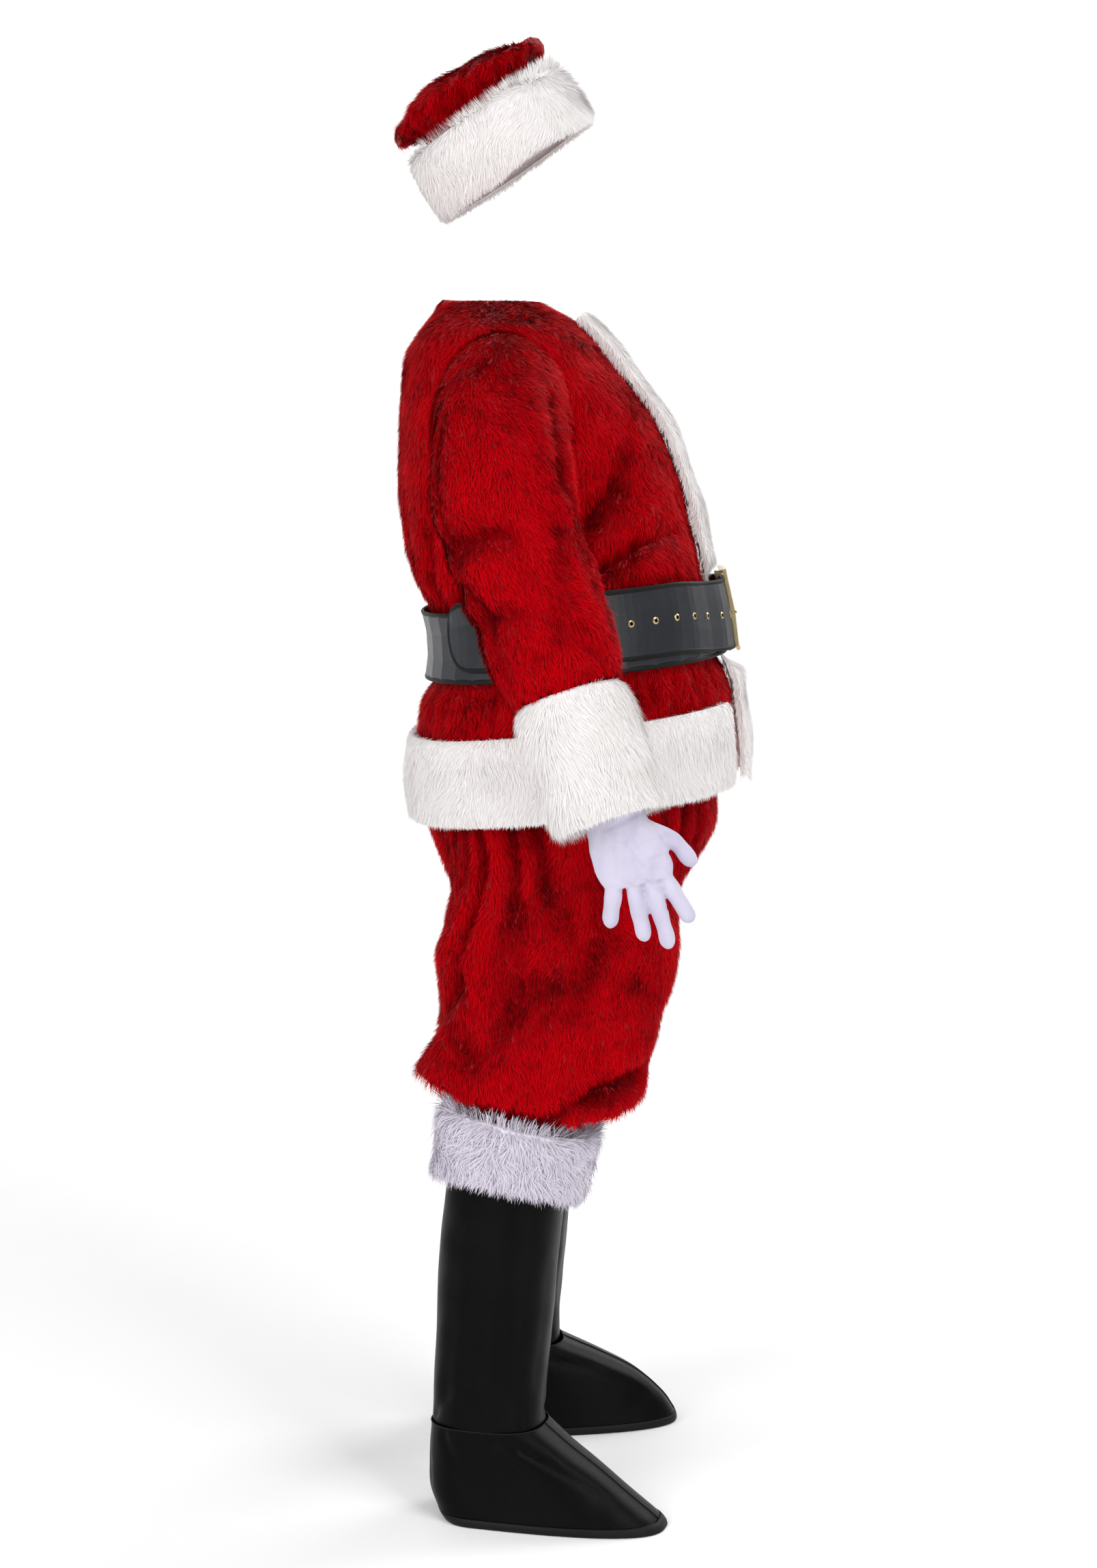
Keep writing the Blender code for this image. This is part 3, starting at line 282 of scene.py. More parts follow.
LEGS = Table((
    # level, rise, torso half width, front, widest line, back, leg centre, leg half, parted
    (0.520, -0.15, 0.19, -0.0870, -0.014, 0.054, 0.149, 0.056, 1.0),
    (0.530, -0.15, 0.20, -0.094, -0.014, 0.0632, 0.149, 0.065, 1.0),
    (0.538, -0.15, 0.22, -0.135, -0.018, 0.085, 0.145, 0.090, 1.0),
    (0.547, -0.13, 0.23, -0.160, -0.022, 0.118, 0.141, 0.106, 1.0),
    (0.562, -0.08, 0.24, -0.174, -0.026, 0.127, 0.138, 0.111, 1.0),
    (0.585, -0.03, 0.24, -0.179, -0.030, 0.119, 0.134, 0.1125, 1.0),
    (0.618, 0.0, 0.24, -0.193, -0.040, 0.104, 0.131, 0.113, 1.0),
    (0.665, 0.0, 0.24, -0.208, -0.050, 0.096, 0.128, 0.117, 1.0),
    (0.720, 0.0, 0.24, -0.216, -0.055, 0.100, 0.124, 0.1225, 1.0),
    (0.750, 0.0, 0.24, -0.228, -0.058, 0.101, 0.123, 0.122, 0.75),
    (0.790, 0.0, 0.24, -0.240, -0.060, 0.102, 0.122, 0.121, 0.35),
    (0.850, 0.0, 0.239, -0.260, -0.062, 0.108, 0.120, 0.119, 0.0),
    (0.910, 0.0, 0.237, -0.270, -0.060, 0.114, 0.118, 0.118, 0.0),
    (1.000, 0.05, 0.226, -0.258, -0.058, 0.106, 0.115, 0.112, 0.0),
    (1.060, 0.09, 0.212, -0.252, -0.052, 0.092, 0.110, 0.105, 0.0),
    (1.110, 0.09, 0.2152, -0.2508, -0.052, 0.0945, 0.110, 0.105, 0.0)))
SHAFT = Table((
    # level, half width, half depth, forward, inward
    (0.1225, 0.059, 0.0725, 0.000, 0.000),
    (0.170, 0.059, 0.0720, 0.001, 0.001),
    (0.250, 0.062, 0.0735, 0.007, 0.006),
    (0.330, 0.065, 0.0755, 0.012, 0.012),
    (0.440, 0.068, 0.0760, 0.024, 0.019),
    (0.468, 0.068, 0.0760, 0.028, 0.020)))
BOOT_CUFF = Table((
    (0.408, 0.0804, 0.0884, 0.0205, 0.017),
    (0.422, 0.091, 0.099, 0.0230, 0.018),
    (0.465, 0.093, 0.103, 0.0310, 0.020),
    (0.517, 0.094, 0.105, 0.0385, 0.021),
    (0.534, 0.085, 0.094, 0.0400, 0.021)))
FOOT = Table((
    # level, instep of the right boot, instep of the left boot, heel, half width
    (0.0130, 0.222, 0.233, 0.062, 0.068),
    (0.0380, 0.188, 0.216, 0.0735, 0.064),
    (0.0720, 0.143, 0.178, 0.0750, 0.060),
    (0.0960, 0.108, 0.134, 0.0745, 0.059),
    (0.1220, 0.0745, 0.078, 0.0725, 0.059)))
SOLE = Table((
    (0.0010, 0.232, 0.236, 0.050, 0.069),
    (0.0112, 0.2235, 0.234, 0.060, 0.068)))
HAT_BAND = Table((
    # place, centre, pitch, roll, half width, half depth
    (0, 0.0, -0.009, 1.701, -34, 0, 0.088, 0.112),
    (1, 0.0, -0.012, 1.696, -34, 0, 0.097, 0.1215),
    (2, 0.0, 0.014, 1.735, -34, 0, 0.099, 0.124),
    (3, 0.0, 0.041, 1.776, -34, 0, 0.094, 0.1175),
    (4, 0.0, 0.043, 1.782, -34, 0, 0.088, 0.110)))
HAT_CROWN = Table((
    (0, 0.0, 0.018, 1.741, -34, 0, 0.074, 0.097),
    (1, 0.0, 0.043, 1.779, -34, 0, 0.062, 0.083),
    (2, 0.012, 0.058, 1.805, -33, 8, 0.090, 0.109),
    (3, 0.058, 0.057, 1.801, -29, 36, 0.066, 0.094),
    (4, 0.104, 0.052, 1.793, -18, 74, 0.044, 0.066),
    (5, 0.138, 0.045, 1.784, -10, 115, 0.031, 0.043),
    (6, 0.155, 0.040, 1.776, -4, 150, 0.021, 0.026),
    (7, 0.158, 0.038, 1.768, 0, 172, 0.013, 0.014),
    (8, 0.158, 0.036, 1.763, 0, 180, 0.008, 0.008)))


class Torso(Surface):
    """The jacket: u is degrees round the body from the front, v is the level."""

    def point(self, u: Array, v: Array) -> Array:
        """Points of the jacket, measured from the floor."""
        half, front, side, back, rise = JACKET.at(v)
        across, along = rounded(u)
        bulge = 1.0 + ridges(u, v, DRAG_FOLDS, 0.0038, 1.0) / half
        y = side - np.where(along > 0.0, side - front, back - side) * along * bulge
        return vector(half * across * bulge, y, v - rise * y)


@dataclass
class Arm(Surface):
    """A sleeve or its cuff: u is degrees round the arm from its outer side, v the place."""

    table: Table
    side: Side

    def __post_init__(self) -> None:
        """The right arm is a mirror image, so its outside is the other way."""
        self.outward = -float(self.side.value)

    def point(self, u: Array, v: Array) -> Array:
        """Points of the arm, measured from the floor."""
        x, y, z, down, lean, half_width, half_depth = self.table.at(v)
        down, lean, turn = np.radians(down), np.radians(lean), np.radians(u)
        axis = vector(np.cos(down), -np.sin(down) * np.sin(lean), -np.sin(down) * np.cos(lean))
        out = vector(np.sin(down), 0.0, np.cos(down))
        out = unit(out - axis * (out * axis).sum(-1, keepdims=True))
        ring = out * (half_width * np.cos(turn))[..., None]
        ring = ring + np.cross(out, axis) * (half_depth * np.sin(turn))[..., None]
        return (vector(x, y, z) + ring) * np.array((float(self.side.value), 1.0, 1.0))


@dataclass
class Leg(Surface):
    """A trouser panel: u runs round the leg from the inner seam by the front at 90."""

    side: Side
    is_back: bool

    def __post_init__(self) -> None:
        """The right leg is a mirror image, and a panel ends at its seams."""
        self.outward = float(self.side.value)
        self.u_range = (180.0, 360.0) if self.is_back else (0.0, 180.0)

    def point(self, u: Array, v: Array) -> Array:
        """Points of the trousers, measured from the floor."""
        rise, half, front, side_y, back, centre, leg_half, parted = LEGS.at(v)
        across = (360.0 - u if self.is_back else u) / 2.0
        depth = back - side_y if self.is_back else side_y - front
        facing = 1.0 if self.is_back else -1.0
        sine, cosine = rounded(across)
        torso = vector(half * sine, side_y + facing * depth * cosine, v)
        sine, cosine = rounded(2.0 * across - 90.0)
        leg = vector(centre + leg_half * sine, side_y + facing * depth * np.abs(cosine), v)
        parted = np.asarray(parted)[..., None]
        result = torso * (1.0 - parted) + leg * parted
        if self.side is Side.LEFT:
            result[..., 1] -= 0.0183 * smooth_step(0.80 - np.asarray(v), 0.0, 0.30)
        result[..., 2] -= rise * result[..., 1]
        result[..., 0] = np.maximum(result[..., 0], 0.0004) * self.side.value
        return result


@dataclass
class Boot(Surface):
    """A boot's shaft, fur cuff, foot or sole: u is degrees round it from the toe, v the level."""

    side: Side
    table: Table
    tilt: float = 0.0
    rise: float = 0.0
    is_foot: bool = False

    def point(self, u: Array, v: Array) -> Array:
        """Points of the boot, measured from the floor."""
        right = self.side is Side.RIGHT
        x, y, toe_out = (-0.1648, 0.0285, 16.0) if right else (0.1705, 0.0100, 5.0)
        turn, sign = math.radians(toe_out), float(self.side.value)
        columns = self.table.at(v)
        if self.is_foot:
            forward, heel, half_width = columns[0 if right else 1], columns[2], columns[3]
            shift = inward = np.zeros_like(heel)
            sine, cosine = rounded(u, 2.7)
        else:
            half_width, heel, shift, inward = columns
            forward = heel
            sine, cosine = rounded(u)
        along = np.where(cosine > 0.0, forward, heel) * cosine
        px = x + sign * math.sin(turn) * along + math.cos(turn) * half_width * sine - sign * inward
        py = y - math.cos(turn) * along + sign * math.sin(turn) * half_width * sine - shift
        levels = self.table.rows[:, 0]
        share = window(v - levels[0], 0.0, levels[-1] - levels[0])
        outer = np.maximum(0.0, 1.0 + sign * (px - x) / self.table.rows[-1, 1]) / 2
        return vector(px, py, v + self.rise * outer * outer * share - self.tilt * (py - y))


@dataclass
class Hat(Surface):
    """The hat's band or crown: u is degrees round the head from the front, v the place."""

    table: Table
    step_v: float = 0.01

    def point(self, u: Array, v: Array) -> Array:
        """Points of the hat, measured from the floor."""
        x, y, z, pitch, roll, half_width, half_depth = self.table.at(v)
        turn, pitch, roll = np.radians(u), np.radians(pitch), np.radians(roll)
        fx, fy = half_width * np.sin(turn), -half_depth * np.cos(turn)
        gy, gz = fy * np.cos(pitch), fy * np.sin(pitch)
        return vector(x + fx * np.cos(roll) + gz * np.sin(roll), y + gy,
                      z - fx * np.sin(roll) + gz * np.cos(roll))


# --------------------------------------------------------------------------- cloth and fur

# Pile: patches of length and of nap in metres, patches of colour as (metres, depth), the share of
# the pile below which tufts drop out, the shortest tuft's share, how far up a normal points where
# tufts stand and stand fully, and the spread of the lean in degrees.
LENGTH_PATCH = 0.09
NAP_PATCH = 0.11
MOTTLE = ((0.16, 0.12), (0.06, 0.13), (0.024, 0.14), (0.010, 0.12))
BARE_BELOW = 0.6
SHORTEST = 0.35
STANDS = (0.45, 0.90)
LEAN_SPREAD = 5.0


@dataclass(frozen=True)
class Stuff:
    """What a cloth is made of: its pile, its ground and the frame's material slot of both."""

    pile: bpy.types.Material | None
    ground: bpy.types.Material
    slot: str


@dataclass
class Sheet:
    """A grid of points on a surface: rows run along v, columns along u."""

    name: str
    points: Array
    closed: bool = False
    keep: Array | None = None
    # The tone is painted shade of the folds, carried on to the pile.
    tone: Array | None = None
    pile: Array | None = None

    def __post_init__(self) -> None:
        """Work out the normals, and keep every cell unless told otherwise."""
        if self.tone is None:
            self.tone = np.zeros(self.points.shape[:2])
        if self.pile is None:
            self.pile = np.ones(self.points.shape[:2])
        wrapped = np.concatenate((self.points[-1:], self.points, self.points[:1])) if self.closed \
            else self.points
        along = np.gradient(wrapped, axis=0)
        along = along[1:-1] if self.closed else along
        across = np.gradient(self.points, axis=1)
        self.along, self.across = along, across
        self.normals = unit(np.cross(along, across))
        columns, rows = self.points.shape[:2]
        if self.keep is None:
            self.keep = np.ones((columns if self.closed else columns - 1, rows - 1), bool)

    def facing(self, outward: float) -> "Sheet":
        """Turn the normals to the side that the sign says."""
        self.normals = self.normals * outward
        return self

    def corner(self, values: Array, du: int, dv: int) -> Array:
        """One corner's values of every cell of the grid."""
        if self.closed:
            values = np.concatenate((values, values[:1]))
        columns, rows = values.shape[:2]
        return values[du:columns - 1 + du, dv:rows - 1 + dv]

    def areas(self) -> Array:
        """Area of every cell, 0 where the cell is left out."""
        a, b = self.corner(self.points, 0, 0), self.corner(self.points, 1, 1)
        c, d = self.corner(self.points, 1, 0), self.corner(self.points, 0, 1)
        return np.linalg.norm(np.cross(b - a, d - c), axis=-1) / 2 * self.keep

    def area(self) -> float:
        """Area of the whole sheet in square metres."""
        return float(self.areas().sum())

    def sample(self, values: Array, cell: Array, s: Array, t: Array) -> Array:
        """Values at places inside cells.

        Args:
            values: A row of numbers for each point of the grid.
            cell: Number of each place's cell.
            s: How far along u each place is in its cell, from 0 to 1.
            t: How far along v it is.

        Returns:
            A row of numbers for each place.
        """
        corners = ((0, 0, (1 - s) * (1 - t)), (1, 0, s * (1 - t)), (0, 1, (1 - s) * t), (1, 1, s * t))
        return sum(self.corner(values, du, dv).reshape(-1, values.shape[-1])[cell] * weight
                   for du, dv, weight in corners)

    def mesh(self, finish: bpy.types.Material, slot: str) -> bpy.types.Object:
        """The sheet as an object with its faces pointing out.

        Args:
            finish: The cloth's material.
            slot: The frame's material slot it takes its finish from; not used.

        Returns:
            The new object, riding on the body.
        """
        columns, rows = self.points.shape[:2]
        i, j = np.nonzero(self.keep)
        after = (i + 1) % columns
        faces = np.stack((i * rows + j, after * rows + j, after * rows + j + 1, i * rows + j + 1), -1)
        sample = np.cross(self.along, self.across)
        if (sample * self.normals).sum() < 0:
            faces = faces[:, ::-1]
        used, faces = np.unique(faces, return_inverse=True)
        return add_mesh(self.name, self.points.reshape(-1, 3)[used], faces.reshape(-1, 4), finish)

    def lay(self, stuff: Stuff, flat: float | tuple[float, float], held: str, rests: list[str],
            coat: Coat | None = None, down: Array | None = None,
            amount: Callable[[Array], Array] | None = None) -> None:
        """Add the cloth in place of the frame's node of its name, with its pile.

        Args:
            stuff: What it is made of.
            flat: Sides of the piece as cut, or only the width of a strip.
            held: How it is held; not used.
            rests: Names of the pieces it lies on; not used.
            coat: Its pile, if it has one.
            down: Direction the nap is brushed in.
            amount: How long the tufts are at places, from 0 for none to 1.
        """
        piece, node = self.mesh(stuff.ground, stuff.slot), self.name.removesuffix("_cloth")
        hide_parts(node)
        fur = [] if coat is None else [coat.grow(self, stuff.pile, stuff.slot, down, amount)]
        area = self.area()
        sides, cut = ((flat, area / flat), None) if isinstance(flat, float) else (flat, area)
        LOG.info("%s: %.3f square metres", node, area)


def add_mesh(name: str, points: Array, faces: Array | list, finish: bpy.types.Material) -> bpy.types.Object:
    """Add an object that rides on the body.

    Args:
        name: The piece's name.
        points: Its points, measured from the floor.
        faces: Corner numbers of each face.
        finish: Its material.

    Returns:
        The new object.
    """
    mesh = bpy.data.meshes.new(name)
    points = np.asarray(points, float) - HOLD
    if isinstance(faces, np.ndarray):
        count, sides = faces.shape
        mesh.vertices.add(len(points))
        mesh.vertices.foreach_set("co", points.astype(np.float32).ravel())
        mesh.loops.add(count * sides)
        mesh.loops.foreach_set("vertex_index", faces.astype(np.int32).ravel())
        mesh.polygons.add(count)
        mesh.polygons.foreach_set("loop_start", np.arange(0, count * sides, sides, dtype=np.int32))
        mesh.update(calc_edges=True)
    else:
        mesh.from_pydata([tuple(point) for point in points], [], faces)
    mesh.validate()
    mesh.polygons.foreach_set("use_smooth", [True] * len(mesh.polygons))
    mesh.materials.append(finish)
    item = bpy.data.objects.new(name, mesh)
    bpy.context.collection.objects.link(item)
    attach(item, BODY)
    return item


@dataclass
class Tufts:
    """Where tufts stand: their roots, the cloth's normals there, and their lengths and tones, which carry
    painted shade of the folds.
    """

    root: Array
    normal: Array
    size: Array
    tone: Array


@dataclass(frozen=True)
class Coat:
    """A pile of tufts: sizes in metres, density in tufts a square metre, angles in degrees."""

    density: float
    length: float
    width: float
    lean: float
    nap: float = 0.0
    sway: float = 22.0
    stray: float = 14.0
    clump: float = 0.05
    uneven: float = 0.25
    bend: float = 14.0
    roll: float = 38.0
    mottle: float = 1.0
    upright: float = 0.0
    seed: int = 1

    def plant(self, draw: np.random.Generator, sheet: Sheet,
              amount: Callable[[Array], Array] | None) -> Tufts:
        """Scatter the tufts over a sheet.

        Args:
            draw: Source of random numbers.
            sheet: The cloth they stand on.
            amount: How long the tufts are at places, from 0 for none to 1.

        Returns:
            The tufts.
        """
        areas = sheet.areas().ravel()
        count = int(areas.sum() * self.density)
        cell = draw.choice(len(areas), count, p=areas / areas.sum())
        s, t = draw.random((2, count, 1))
        root, normal = sheet.sample(sheet.points, cell, s, t), unit(sheet.sample(sheet.normals, cell, s, t))
        tone = sheet.sample(sheet.tone[..., None], cell, s, t)[:, 0]
        pile = sheet.sample(sheet.pile[..., None], cell, s, t)[:, 0]
        size = self.length * (1 + self.uneven * draw.uniform(-1, 1, count))
        size *= (1 + 0.12 * ripple(root, LENGTH_PATCH, self.seed + 5)) * pile
        if amount is not None:
            share = amount(root)
            kept = share > draw.random(count) * BARE_BELOW
            root, normal, tone = root[kept], normal[kept], tone[kept]
            size = (size * np.clip(share, SHORTEST, 1))[kept]
        return Tufts(root, normal, size, tone)

    def comb(self, draw: np.random.Generator, tufts: Tufts, down: Array) -> tuple[Array, Array]:
        """Brush the tufts.

        Args:
            draw: Source of random numbers.
            tufts: The tufts.
            down: Direction the nap is brushed in.

        Returns:
            Each tuft's direction along the cloth, and its lean from the cloth in radians.
        """
        root, normal, count = tufts.root, tufts.normal, len(tufts.root)
        flow = down - normal * (normal * down).sum(-1, keepdims=True)
        flow = unit(flow + 0.02 * draw.normal(size=(count, 3)))
        turn = self.nap + self.sway * ripple(root, NAP_PATCH, self.seed + 7)
        turn = turn + self.sway * 0.9 * ripple(root, self.clump, self.seed + 9)
        turn = np.radians(turn + self.stray * draw.normal(size=count))[:, None]
        ahead = unit(flow * np.cos(turn) + np.cross(normal, flow) * np.sin(turn))
        lean = self.lean * (1 + 0.35 * ripple(root, self.clump, self.seed + 11))
        lean = lean + self.upright * smooth_step(normal[:, 2], *STANDS)
        return ahead, np.radians(lean + LEAN_SPREAD * draw.normal(size=count))[:, None]

    def colour(self, draw: np.random.Generator, tufts: Tufts, along: tuple[float, ...]) -> Array:
        """Colour codes for the fur's material.

        Args:
            draw: Source of random numbers.
            tufts: The tufts.
            along: Share of the way to the tip of each corner of a tuft.

        Returns:
            For each corner the way along, a random share, the depth of colour (painted shade of the folds,
            with random mottle), and 1.
        """
        count = len(tufts.root)
        shade = np.ones((count, len(along), 4), np.float32)
        shade[..., 0] = along
        shade[..., 1] = draw.random(count)[:, None]
        tone = tufts.tone + sum(weight * ripple(tufts.root, scale, self.seed + step)
                                for step, (scale, weight) in enumerate(MOTTLE))
        shade[..., 2] = np.clip(0.5 + 0.5 * tone * self.mottle, 0, 1)[:, None]
        return shade

    def grow(self, sheet: Sheet, finish: bpy.types.Material, slot: str, down: Array | None = None,
             amount: Callable[[Array], Array] | None = None) -> bpy.types.Object:
        """Grow the pile on a sheet.

        Args:
            sheet: The cloth it stands on.
            finish: The pile's material.
            slot: The frame's material slot it takes its finish from; not used.
            down: Direction the nap is brushed in; the floor's unless given.
            amount: How long the tufts are at places, from 0 for none to 1.

        Returns:
            The pile as one object of tapered tufts.
        """
        draw = np.random.default_rng(self.seed)
        tufts = self.plant(draw, sheet, amount)
        root, normal, length = tufts.root, tufts.normal, tufts.size[:, None]
        ahead, lean = self.comb(draw, tufts, np.array((0.0, 0.0, -1.0)) if down is None else down)
        count, bend = len(root), math.radians(self.bend)
        second = ahead * np.cos(lean - bend) + normal * np.sin(np.maximum(lean - bend, 0.02))
        roll = np.radians(draw.uniform(-self.roll, self.roll, count))[:, None]
        flat = unit(np.cross(ahead, normal))
        wide = (flat * np.cos(roll) + normal * np.sin(roll)) * (self.width / 2)
        wide = wide * draw.uniform(0.7, 1.25, count)[:, None]
        outer = unit((root - root.mean(axis=0)) * (1.0, 1.0, 0.0))
        stands = (normal[:, 2] > STANDS[0]) & (self.upright > 0)
        wide[stands & ((np.cross(wide, second) * outer).sum(-1) < 0)] *= -1.0
        if self.bend:
            first = ahead * np.cos(lean + bend) + normal * np.sin(lean + bend)
            middle = root + first * length * 0.5
            tip = middle + second * length * 0.5
            points = np.stack((root - wide * 0.75, root + wide * 0.75, middle + wide, middle - wide, tip), 1)
            corners, along = ((0, 1, 2), (0, 2, 3), (3, 2, 4)), (0.0, 0.0, 0.55, 0.55, 1.0)
        else:
            points = np.stack((root - wide, root + wide, root + second * length), 1)
            corners, along = ((0, 1, 2),), (0.0, 0.0, 1.0)
        faces = (np.array(corners) + np.arange(count)[:, None, None] * len(along)).reshape(-1, 3)
        pile = add_mesh(sheet.name.replace("_cloth", "") + "_fur", points.reshape(-1, 3), faces,
                        finish)
        layer = pile.data.color_attributes.new("tuft", "FLOAT_COLOR", "POINT")
        layer.data.foreach_set("color", self.colour(draw, tufts, along).ravel())
        faced = np.where(stands[:, None], outer + normal * 0.2, normal)
        soft = unit(faced * 0.9 + second * 0.2 + 0.12 * draw.normal(size=(count, 3)))
        normals = np.repeat(soft[:, None], len(along), 1).reshape(-1, 3)
        pile.data.normals_split_custom_set_from_vertices(normals.tolist())
        return pile


# --------------------------------------------------------------------------- shader maths


class Value:
    """A shader socket that adds Math nodes when it is used in an expression."""

    def __init__(self, nodes: "Nodes", socket: bpy.types.NodeSocket) -> None:
        """Keep the socket and the node maker it belongs to."""
        self.nodes, self.socket = nodes, socket

    def _math(self, operation: str, first: object, second: object = 0.0) -> "Value":
        """A Math node on two sockets or numbers."""
        return self.nodes.add("ShaderNodeMath", {"operation": operation}, {0: first, 1: second})

    def __add__(self, other: object) -> "Value":
        """This value plus another."""
        return self._math("ADD", self, other)

    def __mul__(self, other: object) -> "Value":
        """This value times another."""
        return self._math("MULTIPLY", self, other)

    def __sub__(self, other: object) -> "Value":
        """This value less another."""
        return self._math("SUBTRACT", self, other)

    def __rsub__(self, other: object) -> "Value":
        """Another value less this one."""
        return self._math("SUBTRACT", other, self)

    def __pow__(self, other: object) -> "Value":
        """This value to a power."""
        return self._math("POWER", self, other)

    __radd__, __rmul__ = __add__, __mul__

    def ramp(self, start: float, end: float) -> "Value":
        """0 at start, 1 at end, smooth between."""
        return self.nodes.add("ShaderNodeMapRange", {"interpolation_type": "SMOOTHSTEP", "clamp": True},
                              {"Value": self, "From Min": start, "From Max": end})


class Nodes:
    """Makes the nodes of one material."""

    def __init__(self, name: str) -> None:
        """Start a material with a Principled shader."""
        self.material = bpy.data.materials.new(name)
        self.material.use_nodes = True
        self.tree = self.material.node_tree
        self.shader = self.tree.nodes["Principled BSDF"]
        self.place = self.add("ShaderNodeTexCoord", {}, {}, "Object")

    def add(self, kind: str, settings: dict, inputs: dict, output: int | str = 0) -> Value:
        """Add a node.

        Args:
            kind: The node's type.
            settings: Its properties, set first.
            inputs: Values or links of its sockets, by name or number.
            output: Which output the result stands for.

        Returns:
            The output, ready for expressions.
        """
        node = self.tree.nodes.new(kind)
        for name, value in settings.items():
            setattr(node, name, value)
        for name, value in inputs.items():
            self.join(node.inputs[name], value)
        return Value(self, node.outputs[output])

    def join(self, socket: bpy.types.NodeSocket, value: object) -> None:
        """Link or set one socket."""
        if isinstance(value, Value):
            self.tree.links.new(value.socket, socket)
        elif isinstance(value, tuple) and len(value) == 3 and socket.type == "RGBA":
            socket.default_value = (*value, 1.0)
        else:
            socket.default_value = value

    def mix(self, first: object, second: object, factor: object) -> Value:
        """A colour between two colours."""
        return self.add("ShaderNodeMix", {"data_type": "RGBA"}, {0: factor, 6: first, 7: second}, 2)

    def split(self, colour: Value) -> tuple[Value, ...]:
        """The red, green and blue of a colour."""
        node = self.add("ShaderNodeSeparateColor", {}, {"Color": colour}).socket.node
        return tuple(Value(self, socket) for socket in node.outputs)

    def noise(self, scale: float, detail: float = 3.0, stretch: tuple = (1.0, 1.0, 1.0)) -> Value:
        """Noise over the object, from 0 to 1, stretched along the axes."""
        place = self.add("ShaderNodeMapping", {}, {"Vector": self.place, "Scale": stretch})
        return self.add("ShaderNodeTexNoise", {}, {"Vector": place, "Scale": scale, "Detail": detail})

    def bump(self, height: Value, depth: float) -> Value:
        """A normal bumped by a height from 0 to 1, depth metres tall."""
        return self.add("ShaderNodeBump", {}, {"Height": height, "Distance": depth, "Strength": 1.0},
                        "Normal")

    def finish(self, steady: dict, varying: dict) -> bpy.types.Material:
        """Fill the shader and return the material.

        Args:
            steady: Values that are the same all over.
            varying: Values or links that may change over the surface.

        Returns:
            The material.
        """
        for name, value in {**steady, **varying}.items():
            self.join(self.shader.inputs[name], value)
        return self.material


@dataclass(frozen=True)
class Pile:
    """Tufted fur: painted shade makes it dark at the root, deep in the pile, and bright at the tip; it is
    uneven from tuft to tuft, and painted shade deepens it in folds and patches.

    A little glow stands for the light that passes through fine white hair.
    """

    name: str
    root: Colour
    tip: Colour
    # The third colour is painted shade in folds and patches, mixed with random mottle.
    worn: Colour
    sheen: float = 0.25
    sheen_tint: Colour = (1.0, 1.0, 1.0)
    glow: float = 0.0

    def material(self) -> bpy.types.Material:
        """The fur's material."""
        n = Nodes(self.name)
        # The third channel is the depth of colour: painted shade of the folds and patches, with random
        # mottle.
        along, random, clump = n.split(n.add("ShaderNodeVertexColor", {"layer_name": "tuft"}, {}, "Color"))
        streak = n.noise(55.0, 3.0).ramp(0.45, 0.75)
        # The root colour is painted shade deep in the pile, lifting towards the tip.
        body = n.mix(self.root, self.tip, (along ** 0.8) * (0.6 + random * 0.4))
        depth = (0.72 - clump * 0.9 + streak * 0.25) * (1.0 - along * random * 0.35)
        body = n.mix(body, self.worn, depth.ramp(0.0, 1.0))
        return n.finish({"Sheen Weight": self.sheen, "Sheen Roughness": 0.4, "Sheen Tint": self.sheen_tint,
                         "Specular IOR Level": 0.02, "Emission Strength": self.glow},
                        {"Base Color": body, "Emission Color": body, "Roughness": 0.72 - random * 0.2})


@dataclass(frozen=True)
class Backing:
    """The knitted ground that the fur stands on."""

    name: str
    colour: Colour
    shade: Colour

    def material(self) -> bpy.types.Material:
        """The ground's material."""
        n = Nodes(self.name)
        rib = n.noise(420.0, 2.0)
        patch = n.noise(14.0, 3.0).ramp(0.3, 0.7)
        return n.finish({"Sheen Weight": 0.15, "Specular IOR Level": 0.2},
                        {"Base Color": n.mix(self.colour, self.shade, patch * 0.6 + rib * 0.4),
                         "Roughness": 0.8 + rib * 0.15, "Normal": n.bump(rib, 0.0008)})


@dataclass(frozen=True)
class Vinyl:
    """Soft imitation leather with a fine grain."""

    name: str
    colour: Colour
    dust: Colour
    gloss: float = 0.36
    shine: float = 0.3
    grain: float = 900.0

    def material(self) -> bpy.types.Material:
        """The vinyl's material."""
        n = Nodes(self.name)
        cells = n.add("ShaderNodeTexVoronoi", {}, {"Vector": n.place, "Scale": self.grain}, "Distance")
        soft, broad = n.noise(60.0, 4.0), n.noise(9.0, 3.0)
        wear = broad.ramp(0.42, 0.75)
        return n.finish({"Coat Roughness": 0.3, "Specular IOR Level": self.shine},
                        {"Base Color": n.mix(self.colour, self.dust, wear * 0.5 + soft * 0.2),
                         "Roughness": self.gloss + soft * 0.1 + wear * 0.08,
                         "Coat Weight": self.shine * 0.15 + wear * self.shine * 0.2,
                         "Normal": n.bump(cells * 0.5 + soft * 0.5, 0.00035)})


@dataclass(frozen=True)
class Metal:
    """Bright plated metal with faint brush marks."""

    name: str
    colour: Colour
    shade: Colour

    def material(self) -> bpy.types.Material:
        """The metal's material."""
        n = Nodes(self.name)
        brushed = n.noise(700.0, 2.0, (0.15, 0.15, 1.0))
        tarnish = n.noise(80.0, 3.0).ramp(0.45, 0.8)
        return n.finish({}, {"Base Color": n.mix(self.colour, self.shade, tarnish * 0.5),
                             "Metallic": 1.0 - tarnish * 0.1, "Roughness": 0.16 + brushed * 0.12,
                             "Normal": n.bump(brushed, 0.00008)})


